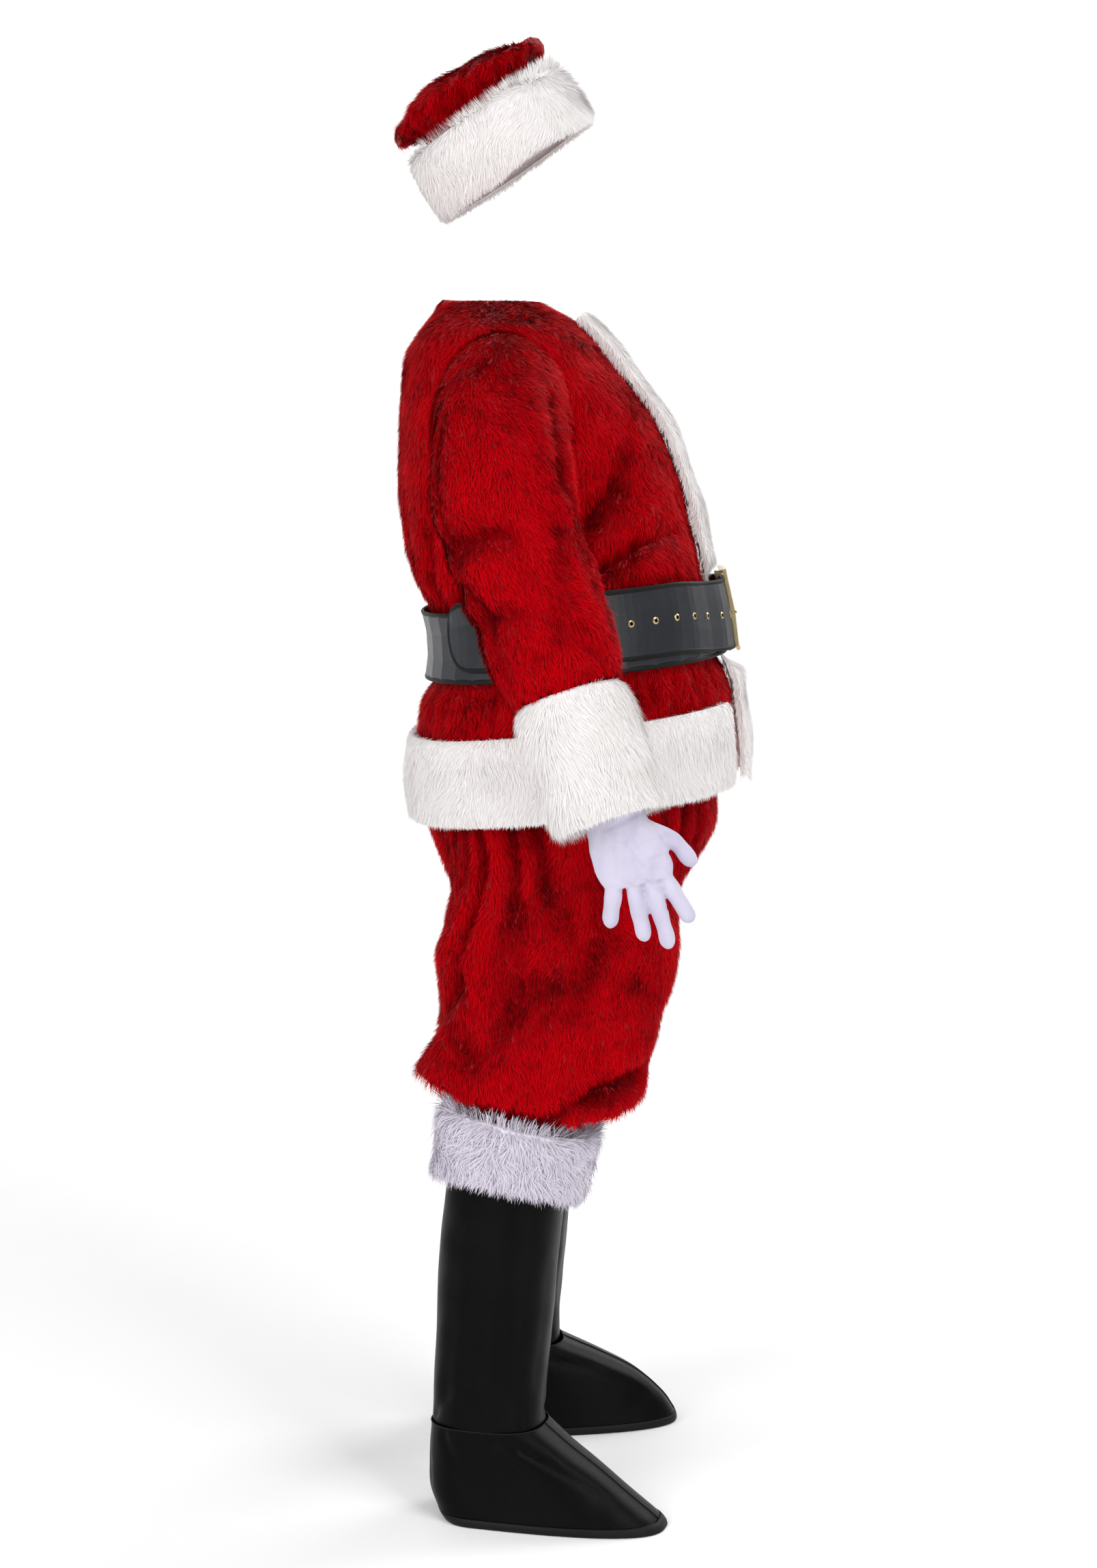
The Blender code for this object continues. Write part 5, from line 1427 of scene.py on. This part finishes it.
@dataclass
class Boots:
    """Two boot covers: fur cuff, shaft, foot in two halves, seams and sole binding."""

    finishes: Finishes
    sole_top: float = 0.0119
    ankle: float = 0.1225
    shaft_top: float = 0.462
    cuff_bottom: float = 0.408
    cuff_top: float = 0.534
    seam_radius: float = 0.0014
    ankle_seam_radius: float = 0.0009
    shaft_cut: float = 0.42
    panel_cut: tuple = (0.15, 0.36)
    binding_cut: float = 0.03
    binding_section: tuple = (
        # level, distance from the sole
        (0.0010, 0.0006), (0.0030, 0.0016), (0.0065, 0.0019), (0.0100, 0.0015), (0.0112, 0.0006),
        (0.0112, -0.0020), (0.0010, -0.0020), (0.0010, 0.0006))
    shaft_folds: tuple = (
        Ridge(262, 0.150, 268, 0.330, 0.012, -0.0022), Ridge(292, 0.140, 286, 0.280, 0.010, -0.0025),
        Ridge(236, 0.160, 244, 0.360, 0.013, -0.0022), Ridge(318, 0.135, 300, 0.170, 0.008, -0.0030),
        Ridge(214, 0.135, 238, 0.165, 0.008, -0.0028), Ridge(72, 0.150, 66, 0.330, 0.012, -0.0024),
        Ridge(102, 0.145, 112, 0.300, 0.012, -0.0022), Ridge(40, 0.138, 60, 0.168, 0.008, -0.0030),
        Ridge(146, 0.140, 120, 0.170, 0.008, -0.0028), Ridge(182, 0.150, 176, 0.360, 0.014, -0.0018),
        Ridge(8, 0.136, 350, 0.160, 0.008, -0.0026), Ridge(340, 0.180, 346, 0.330, 0.013, -0.0016))
    foot_folds: tuple = (
        Ridge(300, 0.100, 326, 0.060, 0.010, -0.0030), Ridge(280, 0.112, 318, 0.090, 0.008, -0.0030),
        Ridge(60, 0.100, 34, 0.060, 0.010, -0.0030), Ridge(80, 0.112, 42, 0.090, 0.008, -0.0030),
        Ridge(240, 0.110, 262, 0.060, 0.010, -0.0022), Ridge(120, 0.110, 98, 0.060, 0.010, -0.0022),
        Ridge(200, 0.108, 214, 0.050, 0.010, -0.0020), Ridge(160, 0.108, 146, 0.050, 0.010, -0.0020),
        Ridge(330, 0.050, 312, 0.025, 0.010, -0.0020), Ridge(30, 0.050, 48, 0.025, 0.010, -0.0020))

    def build(self) -> None:
        """Both boots."""
        for side in Side:
            self.build_shaft(side)
            self.build_foot(side)
            self.build_cuff(side)

    def build_cuff(self, side: Side) -> None:
        """The shaggy fur cuff, higher at the front than at the back."""
        trim = Trim("boot_cuff_" + side.word, Boot(side, BOOT_CUFF, tilt=-0.20, rise=0.028),
                    np.linspace(0, 360, 72, endpoint=False), start=self.cuff_bottom, end=self.cuff_top,
                    metres=0.124, outer=0.0, inner=-0.0160, pile=0.0100, turn=0.012,
                    rests=f"boot_shaft_{side.word}_cloth", low_edge=0.75, high_edge=1.0)
        trim.build(self.finishes.lilac, replace(BOOT_PILE, seed=90 + side.value))

    def build_shaft(self, side: Side) -> None:
        """The shaft, with soft upright creases and a bunched ankle."""
        surface = Boot(side, SHAFT)
        us = np.linspace(0, 360, 96, endpoint=False)
        u, v = grid(us, np.linspace(self.ankle, self.shaft_top, 64))
        relief = ridges(u, v, self.shaft_folds, 0.0012, 1.0) + 0.0006 * ripple(surface.point(u, v), 0.05, 7)
        shell = Sheet("boot_shaft_" + side.word + "_cloth", surface.offset(u, v, relief), closed=True)
        shell.lay(self.finishes.boot, self.shaft_cut, "hung", ["boot_cuff_" + side.word])

    def build_foot(self, side: Side) -> None:
        """The two halves of the foot, the seams between them and the binding of the sole."""
        surface = Boot(side, FOOT, is_foot=True)
        levels = np.linspace(self.sole_top, self.ankle, 30)
        for word, start in (("left_side", 0.05), ("right_side", 180.05)):
            u, v = grid(np.linspace(start, start + 179.9, 64), levels)
            relief = ridges(u, v, self.foot_folds, 0.0020, 1.0)
            shell = Sheet(f"boot_panel_{word}_{side.word}_cloth", surface.offset(u, v, relief))
            shell.lay(self.finishes.boot, self.panel_cut, "hung", ["boot_shaft_" + side.word])
        fine = np.linspace(self.sole_top, self.ankle, 60)
        for word, angle in (("toe", 0.0), ("heel", 180.0)):
            line = surface.offset(np.full(60, angle), fine, 0.0002)
            tube(f"boot_{word}_seam_{side.word}", line, self.seam_radius, self.finishes.binding)
        ring = np.linspace(0, 360, 120)
        line = surface.offset(ring, np.full(120, self.ankle - 0.0003), -0.0001)
        tube(f"boot_ankle_seam_{side.word}", line, self.ankle_seam_radius, self.finishes.binding)
        self.build_binding(side)

    def build_binding(self, side: Side) -> None:
        """The binding round the sole."""
        sole = Boot(side, SOLE, is_foot=True)
        levels, out = np.array(self.binding_section).T
        u, v = grid(np.linspace(0, 360, 120, endpoint=False), levels)
        points = sole.offset(u, v, np.broadcast_to(out, u.shape))
        band = Sheet("boot_binding_" + side.word + "_cloth", points, closed=True)
        band.lay(self.finishes.binding, self.binding_cut, "stretched", ["boot_panel_left_side_" + side.word])


SEAM_SIDES = 6


def closed_ends(rings: Array) -> list[tuple]:
    """Faces between one ring of a rod and the next, and over its two ends."""
    count, sides = rings.shape[:2]
    faces = [(row * sides + side, row * sides + (side + 1) % sides, (row + 1) * sides + (side + 1) % sides,
              (row + 1) * sides + side) for row in range(count - 1) for side in range(sides)]
    return faces + [tuple(range(sides)), tuple(reversed(range((count - 1) * sides, count * sides)))]


def tube(name: str, line: Array, radius: float, stuff: Stuff) -> None:
    """Add a round seam along a line, closed at both ends.

    Args:
        name: The piece's name.
        line: Its centre line.
        radius: Its radius.
        stuff: What it is made of.
    """
    along = unit(np.gradient(line, axis=0))
    guide = np.where(np.abs(along[:, 2:3]) > 0.8, np.array((1.0, 0, 0)), np.array((0, 0, 1.0)))
    first = unit(np.cross(along, guide))
    second = np.cross(along, first)
    turn = np.linspace(0, 2 * math.pi, SEAM_SIDES, endpoint=False)
    spokes = first[:, None] * np.cos(turn)[:, None] + second[:, None] * np.sin(turn)[:, None]
    rings = line[:, None] + radius * spokes
    add_mesh(name, rings.reshape(-1, 3), closed_ends(rings), stuff.ground)
    LOG.info("%s: radius %.4f", name, radius)


@dataclass
class Gloves:
    """A pair of close dress gloves, made for the right hand and mirrored for the left."""

    finishes: Finishes
    lean: float = 14.0
    finger: float = 0.0101
    wrist: float = 0.947
    voxel: float = 0.0018
    cut: tuple = (0.26, 0.24)
    creases: tuple = (
        # darts and creases on the back of the hand: y and z of both ends, half width, height
        (-0.146, 0.905, -0.166, 0.866, 0.0016, 0.0009), (-0.136, 0.905, -0.149, 0.862, 0.0016, 0.0009),
        (-0.126, 0.905, -0.134, 0.864, 0.0016, 0.0009), (-0.134, 0.896, -0.156, 0.866, 0.0040, -0.0022),
        (-0.152, 0.890, -0.192, 0.908, 0.0038, -0.0020), (-0.168, 0.876, -0.196, 0.884, 0.0034, -0.0018),
        (-0.156, 0.914, -0.176, 0.898, 0.0036, 0.0016), (-0.120, 0.890, -0.126, 0.852, 0.0034, -0.0018),
        (-0.112, 0.912, -0.150, 0.930, 0.0036, -0.0016), (-0.160, 0.850, -0.182, 0.838, 0.0028, -0.0016),
        (-0.140, 0.846, -0.158, 0.836, 0.0028, -0.0014), (-0.176, 0.822, -0.186, 0.816, 0.0024, -0.0012))
    palm: tuple = (
        # centre, half width, half thickness
        (-0.358, -0.109, 0.952, 0.0515, 0.0475), (-0.367, -0.121, 0.936, 0.037, 0.032),
        (-0.369, -0.128, 0.912, 0.037, 0.025), (-0.372, -0.139, 0.888, 0.0435, 0.019),
        (-0.373, -0.149, 0.862, 0.0455, 0.0155), (-0.373, -0.155, 0.846, 0.040, 0.012))
    fingers: dict = field(default_factory=lambda: {
        "thumb": ((-0.368, -0.150, 0.918), (-0.364, -0.193, 0.896), (-0.360, -0.214, 0.872)),
        "index": ((-0.372, -0.172, 0.876), (-0.371, -0.194, 0.836), (-0.366, -0.212, 0.806)),
        "middle": ((-0.374, -0.159, 0.872), (-0.375, -0.176, 0.818), (-0.369, -0.188, 0.776)),
        "ring": ((-0.374, -0.143, 0.872), (-0.375, -0.152, 0.820), (-0.369, -0.160, 0.784)),
        "little": ((-0.372, -0.127, 0.876), (-0.373, -0.123, 0.830), (-0.368, -0.120, 0.800))})

    def rings(self) -> list[Array]:
        """Rings of the palm from the wrist down."""
        lean = math.radians(self.lean)
        across = np.array((0.0, math.cos(lean), -math.sin(lean)))
        turn = np.linspace(0, 360, 40, endpoint=False)
        rows = np.array(self.palm)
        fine = Table([(i, *row) for i, row in enumerate(rows)]).at(np.linspace(0, len(rows) - 1, 26))
        made = []
        for x, y, z, wide, thick in fine.T:
            sine, cosine = rounded(turn)
            made.append(np.array((x, y, z)) + across * (wide * cosine)[:, None]
                        + np.array((1.0, 0, 0)) * (thick * sine)[:, None])
        return made

    def finger_rings(self, joints: tuple) -> list[Array]:
        """Rings of one finger, round at its tip and a little narrower between its joints."""
        places = np.array(joints)
        line = Table([(i, *p) for i, p in enumerate(places)]).at(np.linspace(0, 2, 16)).T
        ahead = unit(line[-1] - line[-2])
        sizes = self.finger * (1.0 + 0.05 * np.cos(np.linspace(0, 4 * math.pi, 16)))
        sizes[-4:] *= np.array((1.0, 0.98, 0.95, 0.90))
        cap = [(line[-1] + ahead * self.finger * s, self.finger * c) for s, c in
               ((0.35, 0.82), (0.62, 0.64), (0.82, 0.42), (0.93, 0.20))]
        rows = [*zip(line, sizes), *cap]
        turn = np.linspace(0, 2 * math.pi, 20, endpoint=False)
        made = []
        for index, (centre, size) in enumerate(rows):
            along = unit(rows[min(index + 1, len(rows) - 1)][0] - rows[max(index - 1, 0)][0])
            side = unit(np.cross(along, np.array((1.0, 0.0, 0.0))))
            made.append(centre + size * (np.cos(turn)[:, None] * side
                                         + np.sin(turn)[:, None] * np.cross(side, along) * 0.92))
        return made

    def build(self) -> None:
        """Both gloves."""
        parts = [self.rings()] + [self.finger_rings(joints) for joints in self.fingers.values()]
        points, faces = [], []
        for rings in parts:
            start = sum(len(ring) for ring in points)
            count = len(rings[0])
            for row in range(len(rings) - 1):
                for index in range(count):
                    after = (index + 1) % count
                    low = start + row * count
                    faces.append((low + index, low + after, low + count + after, low + count + index))
            faces.append(tuple(start + i for i in reversed(range(count))))
            faces.append(tuple(start + (len(rings) - 1) * count + i for i in range(count)))
            points += rings
        points = np.concatenate(points)
        right = self.joined("glove_right_cloth", points, faces)
        left = right.copy()
        left.data = right.data.copy()
        left.name = left.data.name = "glove_left_cloth"
        bpy.context.collection.objects.link(left)
        for vertex in left.data.vertices:
            vertex.co.x = -vertex.co.x
        left.data.flip_normals()
        for side, glove in ((Side.RIGHT, right), (Side.LEFT, left)):
            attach(glove, BODY)
            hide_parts("glove_" + side.word)

    def joined(self, name: str, points: Array, faces: list) -> bpy.types.Object:
        """The palm and fingers melted into one skin, open at the wrist."""
        mesh = bpy.data.meshes.new(name)
        mesh.from_pydata([tuple(point - HOLD) for point in points], [], faces)
        item = bpy.data.objects.new(name, mesh)
        bpy.context.collection.objects.link(item)
        remesh = item.modifiers.new("skin", "REMESH")
        remesh.mode, remesh.voxel_size = "VOXEL", self.voxel
        smooth = item.modifiers.new("soften", "SMOOTH")
        smooth.factor, smooth.iterations = 0.5, 6
        made = bpy.data.meshes.new_from_object(item.evaluated_get(bpy.context.evaluated_depsgraph_get()))
        item.modifiers.clear()
        item.data = made
        made.name = name
        bpy.data.meshes.remove(mesh)
        shape = bmesh.new()
        shape.from_mesh(made)
        top = self.wrist - HOLD[2]
        above = [face for face in shape.faces if face.calc_center_median().z > top]
        bmesh.ops.delete(shape, geom=above, context="FACES")
        shape.to_mesh(made)
        shape.free()
        place = np.zeros(len(made.vertices) * 3)
        made.vertices.foreach_get("co", place)
        normal = np.zeros(len(made.vertices) * 3)
        made.vertices.foreach_get("normal", normal)
        place, normal = place.reshape(-1, 3), normal.reshape(-1, 3)
        place = place + normal * self.relief(place + HOLD)[:, None]
        made.vertices.foreach_set("co", place.ravel())
        made.polygons.foreach_set("use_smooth", [True] * len(made.polygons))
        made.materials.clear()
        made.materials.append(self.finishes.knit)
        return item

    def relief(self, points: Array) -> Array:
        """Soft wrinkles of the knit, and raised darts and creases on the back of the hand."""
        y, z = points[:, 1], points[:, 2]
        out = smooth_step(-points[:, 0], 0.366, 0.378)
        total = 0.0007 * ripple(points, 0.030, 5)
        for y0, z0, y1, z1, width, height in self.creases:
            run = np.array((y1 - y0, z1 - z0))
            place = np.stack((y - y0, z - z0), -1)
            part = np.clip(place @ run / (run @ run), 0, 1)
            gap = np.linalg.norm(place - part[:, None] * run, axis=1) / width
            total += height * np.exp(-gap * gap) * out
        return total


@dataclass
class HatPieces:
    """The hat: fur band, soft crown that falls to the left, and its pompom."""

    finishes: Finishes
    pompom: tuple = (0.158, 0.036, 1.7260)
    radius: float = 0.038
    core_inset: float = 0.012
    pile: float = 0.0068
    crown_cut: tuple = (0.30, 0.46)
    folds: tuple = (
        Ridge(262, 1.1, 268, 2.3, 0.010, -0.013), Ridge(283, 1.1, 286, 2.2, 0.009, -0.010),
        Ridge(304, 1.1, 300, 2.3, 0.010, -0.012), Ridge(244, 1.1, 250, 2.4, 0.010, -0.011),
        Ridge(222, 1.1, 230, 2.4, 0.011, -0.010), Ridge(328, 1.1, 318, 2.4, 0.011, -0.011),
        Ridge(200, 1.1, 206, 2.6, 0.011, -0.010), Ridge(350, 1.1, 342, 2.6, 0.011, -0.009),
        Ridge(176, 1.1, 180, 3.4, 0.012, -0.010), Ridge(14, 1.1, 4, 3.4, 0.012, -0.010),
        Ridge(150, 1.1, 160, 4.0, 0.012, -0.009), Ridge(40, 1.1, 28, 4.0, 0.012, -0.009),
        Ridge(255, 2.9, 300, 3.4, 0.012, -0.007), Ridge(230, 3.6, 290, 4.3, 0.012, -0.007))

    def build(self) -> None:
        """The band, the crown and the pompom."""
        self.build_band()
        self.build_crown()
        self.build_pompom()

    def build_band(self) -> None:
        """The fur band, with its tufts stood up along the top."""
        band = Trim("hat_band", Hat(HAT_BAND), np.linspace(0, 360, 80, endpoint=False), start=1.0, end=3.0,
                    metres=0.096, outer=0.0, inner=-0.0227, pile=0.0085, turn=0.016, rests="hat_crown",
                    low_edge=0.6, high_edge=0.8)
        band.build(self.finishes.white, replace(WHITE_PILE, sway=30.0, upright=85.0, seed=101),
                   held="stretched")

    def build_crown(self) -> None:
        """The soft crown, gathered into the band."""
        surface = Hat(HAT_CROWN)
        us = np.linspace(0, 360, 90, endpoint=False)
        u, v = grid(us, np.concatenate((np.linspace(0.2, 2, 18)[:-1], np.linspace(2, 8, 60))))
        relief = ridges(u, v, self.folds, 0.00155, 0.045)
        inset = self.pile * np.clip((8.0 - v) / 2.0, 0.3, 1.0)
        cloth = Sheet("hat_crown_cloth", surface.offset(u, v, relief - inset), closed=True)
        cloth.lay(self.finishes.red, self.crown_cut, "hung", ["hat_band_cloth"],
                  replace(RED_PILE, sway=24.0, seed=103), amount=self.amount)

    @staticmethod
    def amount(points: Array) -> Array:
        """How long the pile is: none inside the band."""
        height = points[..., 2] + 0.675 * (points[..., 1] - 0.041) - 1.776
        return smooth_step(height, -0.012, 0.0)

    def build_pompom(self) -> None:
        """The pompom: a ball of white pile."""
        u, v = grid(np.linspace(0, 360, 28, endpoint=False), np.linspace(-88, 88, 17))
        turn, rise = np.radians(u), np.radians(v)
        out = vector(np.sin(turn) * np.cos(rise), -np.cos(turn) * np.cos(rise), np.sin(rise))
        reach = self.radius - self.core_inset
        core = Sheet("hat_pompom_cloth", np.array(self.pompom) + out * reach, closed=True)
        white = self.finishes.white
        piece = core.mesh(white.ground, white.slot)
        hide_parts("hat_pompom")
        replace(POMPOM_PILE, seed=104).grow(core, white.pile, white.slot)
        LOG.info("hat_pompom: radius %.3f", self.radius)


@dataclass
class Strap(Surface):
    """The belt's strap: u is the angle round the body, v is -1 and 1 at its edges."""

    level: float = BELT_LEVEL
    tongue_level: float = 1.127
    buckle_level: float = 1.1155
    half: float = 0.045
    wall: float = 0.0030
    inner: float = 0.0036
    over_trim: float = 0.0075
    lap: float = 0.0045
    lift: float = 0.0122
    start: float = 357.5
    tip: float = -137.5
    tip_length: float = 14.0
    torso: Torso = field(default_factory=Torso)

    def half_width(self, u: Array) -> Array:
        """Half of the strap's width, which rounds off to its tip."""
        past = np.maximum(0.0, (self.tip + self.tip_length - u) / self.tip_length)
        return self.half * np.sqrt(np.maximum(0.01, 1.0 - past ** 2.4))

    def point(self, u: Array, v: Array) -> Array:
        """Points of the jacket under the strap, measured from the floor."""
        before = self.level + (self.buckle_level - self.level) * window(u, 0.0, 60.0)
        after = self.tongue_level + (self.buckle_level - self.tongue_level) * window(u, 10.0, 50.0)
        return self.torso.point(u, np.where(u > 0.0, before, after) + self.half_width(u) * v)

    def height(self, u: Array) -> Array:
        """Distance of the strap's inner face from the jacket."""
        turn = (u + 180.0) % 360.0 - 180.0
        base = self.inner + (self.over_trim - self.inner) * window(turn, 14.0, 30.0)
        lift = self.lift * window(u, 14.0, 30.0)
        return base + np.where(u <= 0.0, lift + self.lap * (1.0 - lift / self.lift),
                               np.where(u < 90.0, lift, 0.0))


@dataclass
class Belt:
    """The belt: its strap, buckle and eyelets, and the binding sewn over the strap's edge."""

    finishes: Finishes
    nodes: dict[str, bpy.types.Object]
    binding_half: float = 0.0031
    binding_proud: float = 0.0007
    binding_inset: float = 0.0026
    path_steps: int = 420

    def build(self) -> None:
        """Dress the strap and the metal, and add the binding."""
        for name, item in self.nodes.items():
            if name.startswith(("buckle", "eyelet")):
                dress(item, self.finishes.gold)
            elif name == "belt_strap":
                dress(item, self.finishes.vinyl)
        self.build_binding(Strap())

    def build_binding(self, strap: Strap) -> None:
        """The binding: along the upper edge, round the tip and back along the lower edge."""
        u = np.linspace(strap.start - 0.4, strap.tip + 0.25, self.path_steps)
        share = 1.0 - self.binding_inset / strap.half_width(u)
        u, v = np.concatenate((u, u[::-1])), np.concatenate((share, -share[::-1]))
        out = strap.height(u) + strap.wall / 2
        line = strap.offset(u, v, out)
        outward = unit(strap.offset(u, v, out + 0.001) - line)
        along = unit(np.gradient(line, axis=0))
        inward = np.cross(outward, along)
        turn = np.linspace(0, 2 * math.pi, 12, endpoint=False)
        wide = np.sign(np.cos(turn)) * np.abs(np.cos(turn)) ** 0.7 * self.binding_half
        thick = np.sign(np.sin(turn)) * np.abs(np.sin(turn)) ** 0.7 * (strap.wall / 2 + self.binding_proud)
        rings = line[:, None] + inward[:, None] * wide[:, None] + outward[:, None] * thick[:, None]
        binding = self.finishes.binding
        add_mesh("belt_binding", rings.reshape(-1, 3), closed_ends(rings), binding.ground)
        LOG.info("belt_binding: half width %.4f", self.binding_half)


def dress(item: bpy.types.Object, finish: bpy.types.Material) -> None:
    """Give a node of the frame a finish in each of its material slots."""
    for place in item.material_slots:
        place.material = finish


@dataclass
class NeckFacing:
    """The facing inside the neckline."""

    finishes: Finishes
    bottom: float = 1.522
    top: float = 1.540
    inset: float = 0.0095
    width: float = 0.03

    def build(self) -> None:
        """The facing's cloth."""
        u, v = grid(np.linspace(0, 360, 90, endpoint=False), np.linspace(self.bottom, self.top, 5))
        band = Sheet("neck_facing_cloth", Torso().offset(u, v, np.full(u.shape, -self.inset)), closed=True)
        band.lay(self.finishes.red, self.width, "hung", ["jacket_back_cloth"])


@dataclass(frozen=True)
class Lamp:
    """A soft rectangular light: where it hangs, what it faces, its watts and its sides."""

    name: str
    place: tuple
    aim: tuple
    power: float
    width: float
    height: float

    def build(self) -> None:
        """Hang the light and turn it to its aim."""
        lamp = bpy.data.lights.new(self.name, "AREA")
        lamp.shape = "RECTANGLE"
        lamp.energy, lamp.size, lamp.size_y = self.power, self.width, self.height
        item = bpy.data.objects.new(self.name, lamp)
        item.location = self.place
        item.rotation_euler = (Vector(self.aim) - Vector(self.place)).to_track_quat("-Z", "Y").to_euler()
        bpy.context.collection.objects.link(item)


AT_SUIT, AT_WALL = (0.0, 0.0, -0.4), (8.0, 0.0, 0.4)


@dataclass
class Studio:
    """Pale floor, soft lights and the camera."""

    eye: tuple = (-3.8, -0.127, -0.109)
    tilt: float = 7.11
    lens: float = 67.66
    floor_level: float = -1.5
    wall: float = 8.0
    curve: float = 4.0
    reach: float = 12.0
    rise: float = 9.0
    surround: float = 0.60
    lamps: tuple = (
        Lamp("key", (-2.6, -2.4, 2.6), AT_SUIT, 72.0, 2.0, 2.0),
        Lamp("fill", (-3.0, 3.0, 1.6), AT_SUIT, 96.0, 2.6, 2.6),
        Lamp("rim", (2.4, -3.2, 1.8), AT_SUIT, 80.0, 2.2, 2.2),
        Lamp("wall", (4.2, 0.0, 3.8), AT_WALL, 150.0, 5.0, 1.6),
        Lamp("strip", (-3.1, -1.7, -0.3), AT_SUIT, 18.0, 0.4, 2.2),
        Lamp("thin_strip", (-3.1, 1.3, -0.3), AT_SUIT, 12.0, 0.3, 2.2))

    def build(self) -> None:
        """Build everything that isn't the suit."""
        self.build_floor()
        self.build_lights()
        self.build_camera()

    def build_floor(self) -> None:
        """A pale floor with a faint unevenness, curved up into the wall behind."""
        n = Nodes("floor")
        tone = n.noise(3.0, 2.0)
        finish = n.finish({}, {"Base Color": n.mix((0.93, 0.93, 0.93), (0.90, 0.90, 0.90), tone),
                               "Roughness": 0.85})
        bend = np.linspace(0, math.pi / 2, 17)
        foot = self.wall - self.curve
        side = np.concatenate(((-self.reach,), foot + self.curve * np.sin(bend), (self.wall,)))
        rise = np.concatenate(((0.0,), self.curve * (1 - np.cos(bend)), (self.rise,)))
        points = [(x, y, self.floor_level + z) for x, z in zip(side, rise) for y in (-self.reach, self.reach)]
        faces = [(2 * i, 2 * i + 1, 2 * i + 3, 2 * i + 2) for i in range(len(side) - 1)]
        mesh = bpy.data.meshes.new("floor")
        mesh.from_pydata(points, [], faces)
        mesh.polygons.foreach_set("use_smooth", [True] * len(faces))
        mesh.materials.append(finish)
        floor = bpy.data.objects.new("floor", mesh)
        bpy.context.collection.objects.link(floor)

    def build_lights(self) -> None:
        """A white surround, large soft lights, one of them on the wall, and two upright strips."""
        world = bpy.data.worlds.new("studio")
        bpy.context.scene.world = world
        world.use_nodes = True
        surround = world.node_tree.nodes["Background"]
        surround.inputs["Color"].default_value = (1.0, 1.0, 1.0, 1.0)
        surround.inputs["Strength"].default_value = self.surround
        for lamp in self.lamps:
            lamp.build()
        bpy.context.scene.view_settings.view_transform = "Standard"

    def build_camera(self) -> None:
        """The camera, level from side to side and tilted down."""
        camera = bpy.data.cameras.new("camera")
        camera.lens, camera.sensor_width, camera.sensor_fit = self.lens, 36.0, "AUTO"
        item = bpy.data.objects.new("camera", camera)
        t = math.radians(self.tilt)
        axes = Matrix(((0, math.sin(t), -math.cos(t)), (-1, 0, 0), (0, math.cos(t), math.sin(t))))
        item.matrix_world = Matrix.Translation(Vector(self.eye)) @ axes.to_4x4()
        bpy.context.collection.objects.link(item)
        bpy.context.scene.camera = item


def count_triangles() -> int:
    """Triangles of everything that is rendered."""
    total = 0
    for item in bpy.data.objects:
        if item.type == "MESH" and not item.hide_render:
            item.data.calc_loop_triangles()
            total += len(item.data.loop_triangles)
    return total


def main() -> None:
    """Build the suit round the frame, then the studio."""
    logging.basicConfig(level=logging.INFO, format="%(message)s")
    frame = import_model()
    finishes = Finishes()
    jacket = Jacket(finishes)
    jacket.build_body()
    for side in Side:
        Sleeve(finishes, side).build()
    jacket.build_trims()
    NeckFacing(finishes).build()
    Trousers(finishes).build()
    Boots(finishes).build()
    Gloves(finishes).build()
    HatPieces(finishes).build()
    Belt(finishes, frame["nodes"]).build()
    Studio().build()
    LOG.info("%d triangles in all", count_triangles())


if __name__ == "__main__":
    main()
